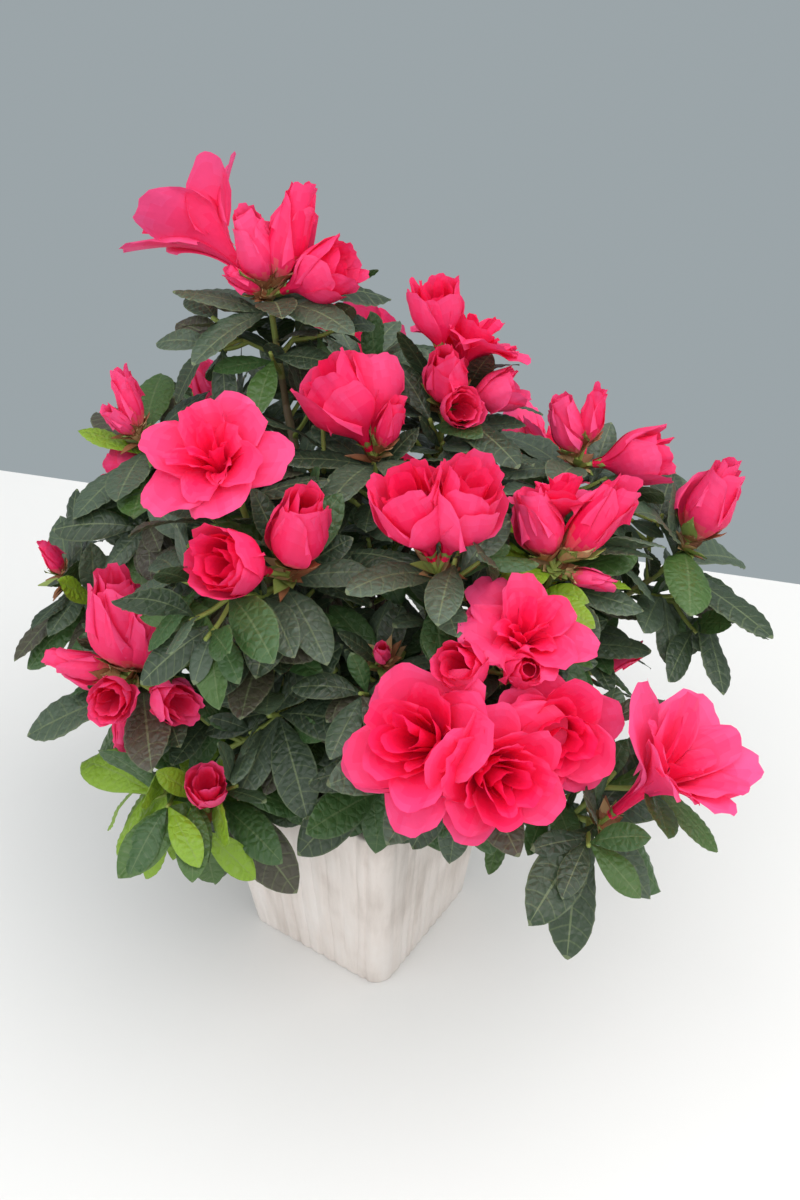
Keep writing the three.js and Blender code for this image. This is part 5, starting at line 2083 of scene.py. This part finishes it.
class AZALEA_OT_bracts(bpy.types.Operator):
    """Builds the scales and calyx under each bloom"""

    bl_idname = "azalea.bracts"
    bl_label = "Scales"

    def execute(self, context):
        build_bracts(context.scene.azalea_blossom, grown_crown())
        return {"FINISHED"}


class AZALEA_OT_stage(bpy.types.Operator):
    """Sets the table top, the lights and the camera"""

    bl_idname = "azalea.stage"
    bl_label = "Stage"

    def execute(self, context):
        settings = context.scene.azalea_stage
        build_floor(settings)
        light_scene(settings)
        place_camera(settings)
        return {"FINISHED"}


# The stage, in metres: two places on the table's far edge, its size, what the camera and
# the lights turn to, and each light's heading, lift, distance, size, power and colour.
TABLE_EDGE = ((-0.407, 0.162), (0.078, 0.339))
TABLE = {"half_width": 3, "depth": 3.5, "thickness": 0.03}
TARGET = Vector((0.012, 0.014, 0.170))
LIGHTS = {
    "key": (8, 50, 1.5, 2.1, 18, (1.0, 0.985, 0.97)),
    "fill": (262, 36, 1.5, 2.6, 19, (0.995, 0.99, 0.99)),
    "top": (60, 80, 1.6, 3.0, 18, (1.0, 0.995, 0.985)),
}
LENS = {"lens": 42, "sensor_width": 36, "clip_start": 0.02, "clip_end": 20}


def build_floor(settings):
    """A pale table top whose far edge runs behind the plant."""
    start, end = (Vector((*corner, 0)) for corner in TABLE_EDGE)
    run = (end - start).normalized()
    near = Vector((run.y, -run.x, 0))
    middle = (start + end) / 2
    left, right = middle - run * TABLE["half_width"], middle + run * TABLE["half_width"]
    nearer = near * TABLE["depth"]
    corners = [left, right, right + nearer, left + nearer]
    low = [corner - UP * TABLE["thickness"] for corner in corners]
    faces = [(3, 2, 1, 0), (4, 5, 6, 7), (0, 1, 5, 4), (1, 2, 6, 5), (2, 3, 7, 6), (3, 0, 4, 7)]
    mesh = bpy.data.meshes.new("table_top")
    mesh.from_pydata([corner[:] for corner in corners + low], [], faces)
    mesh.materials.append(floor_finish("table_paint", settings.floor))
    table = bpy.data.objects.new("table_top", mesh)
    bpy.context.scene.collection.objects.link(table)


def aim(thing, out, distance):
    """Puts a light or the camera in a direction from the target, and turns it back to it."""
    thing.location = TARGET + out * distance
    thing.rotation_euler = (-out).to_track_quat("-Z", "Y").to_euler()
    bpy.context.scene.collection.objects.link(thing)


def area_light(name, heading, lift, distance, size, power, colour):
    data = bpy.data.lights.new(name, "AREA")
    data.shape = "DISK"
    data.size, data.energy, data.color = size, power, colour
    aim(bpy.data.objects.new(name, data), towards(heading, lift), distance)


def light_scene(settings):
    world = bpy.data.worlds.new("backdrop")
    world.use_nodes = True
    world.node_tree.nodes["Background"].inputs["Color"].default_value = solid(settings.wall)
    world.node_tree.nodes["Background"].inputs["Strength"].default_value = 1.0
    bpy.context.scene.world = world
    for name, plan in LIGHTS.items():
        area_light(name, *plan)
    bpy.context.scene.view_settings.view_transform = "Standard"


def place_camera(settings):
    data = bpy.data.cameras.new("camera")
    for name, value in LENS.items():
        setattr(data, name, value)
    camera = bpy.data.objects.new("camera", data)
    out = towards(math.degrees(settings.heading) - 90, math.degrees(settings.lift))
    aim(camera, out, settings.distance)
    bpy.context.scene.camera = camera


OPERATORS = (
    AZALEA_OT_planter,
    AZALEA_OT_soil,
    AZALEA_OT_limbs,
    AZALEA_OT_twigs,
    AZALEA_OT_leaves,
    AZALEA_OT_blossom,
    AZALEA_OT_bracts,
    AZALEA_OT_stage,
)
SETTINGS = {
    "azalea_planter": PlanterSettings,
    "azalea_soil": SoilSettings,
    "azalea_wood": WoodSettings,
    "azalea_foliage": FoliageSettings,
    "azalea_blossom": BlossomSettings,
    "azalea_stage": StageSettings,
}


class AZALEA_PT_sidebar(bpy.types.Panel):
    """Lists the azalea's pieces and their sizes and colours"""

    bl_label = "Potted azalea"
    bl_space_type = "VIEW_3D"
    bl_region_type = "UI"
    bl_category = "Azalea"

    def draw(self, context):
        for operator in OPERATORS:
            self.layout.operator(operator.bl_idname)
        for name, group in SETTINGS.items():
            box = self.layout.box()
            for setting in group.__annotations__:
                box.prop(getattr(context.scene, name), setting)


def register():
    for group in SETTINGS.values():
        bpy.utils.register_class(group)
    for name, group in SETTINGS.items():
        setattr(bpy.types.Scene, name, PointerProperty(type=group))
    for operator in OPERATORS:
        bpy.utils.register_class(operator)
    bpy.utils.register_class(AZALEA_PT_sidebar)


def unregister():
    bpy.utils.unregister_class(AZALEA_PT_sidebar)
    for operator in reversed(OPERATORS):
        bpy.utils.unregister_class(operator)
    for name in SETTINGS:
        delattr(bpy.types.Scene, name)
    for group in reversed(list(SETTINGS.values())):
        bpy.utils.unregister_class(group)


def main():
    register()
    for operator in OPERATORS:
        group, action = operator.bl_idname.split(".")
        getattr(getattr(bpy.ops, group), action)()


if __name__ == "__main__":
    main()
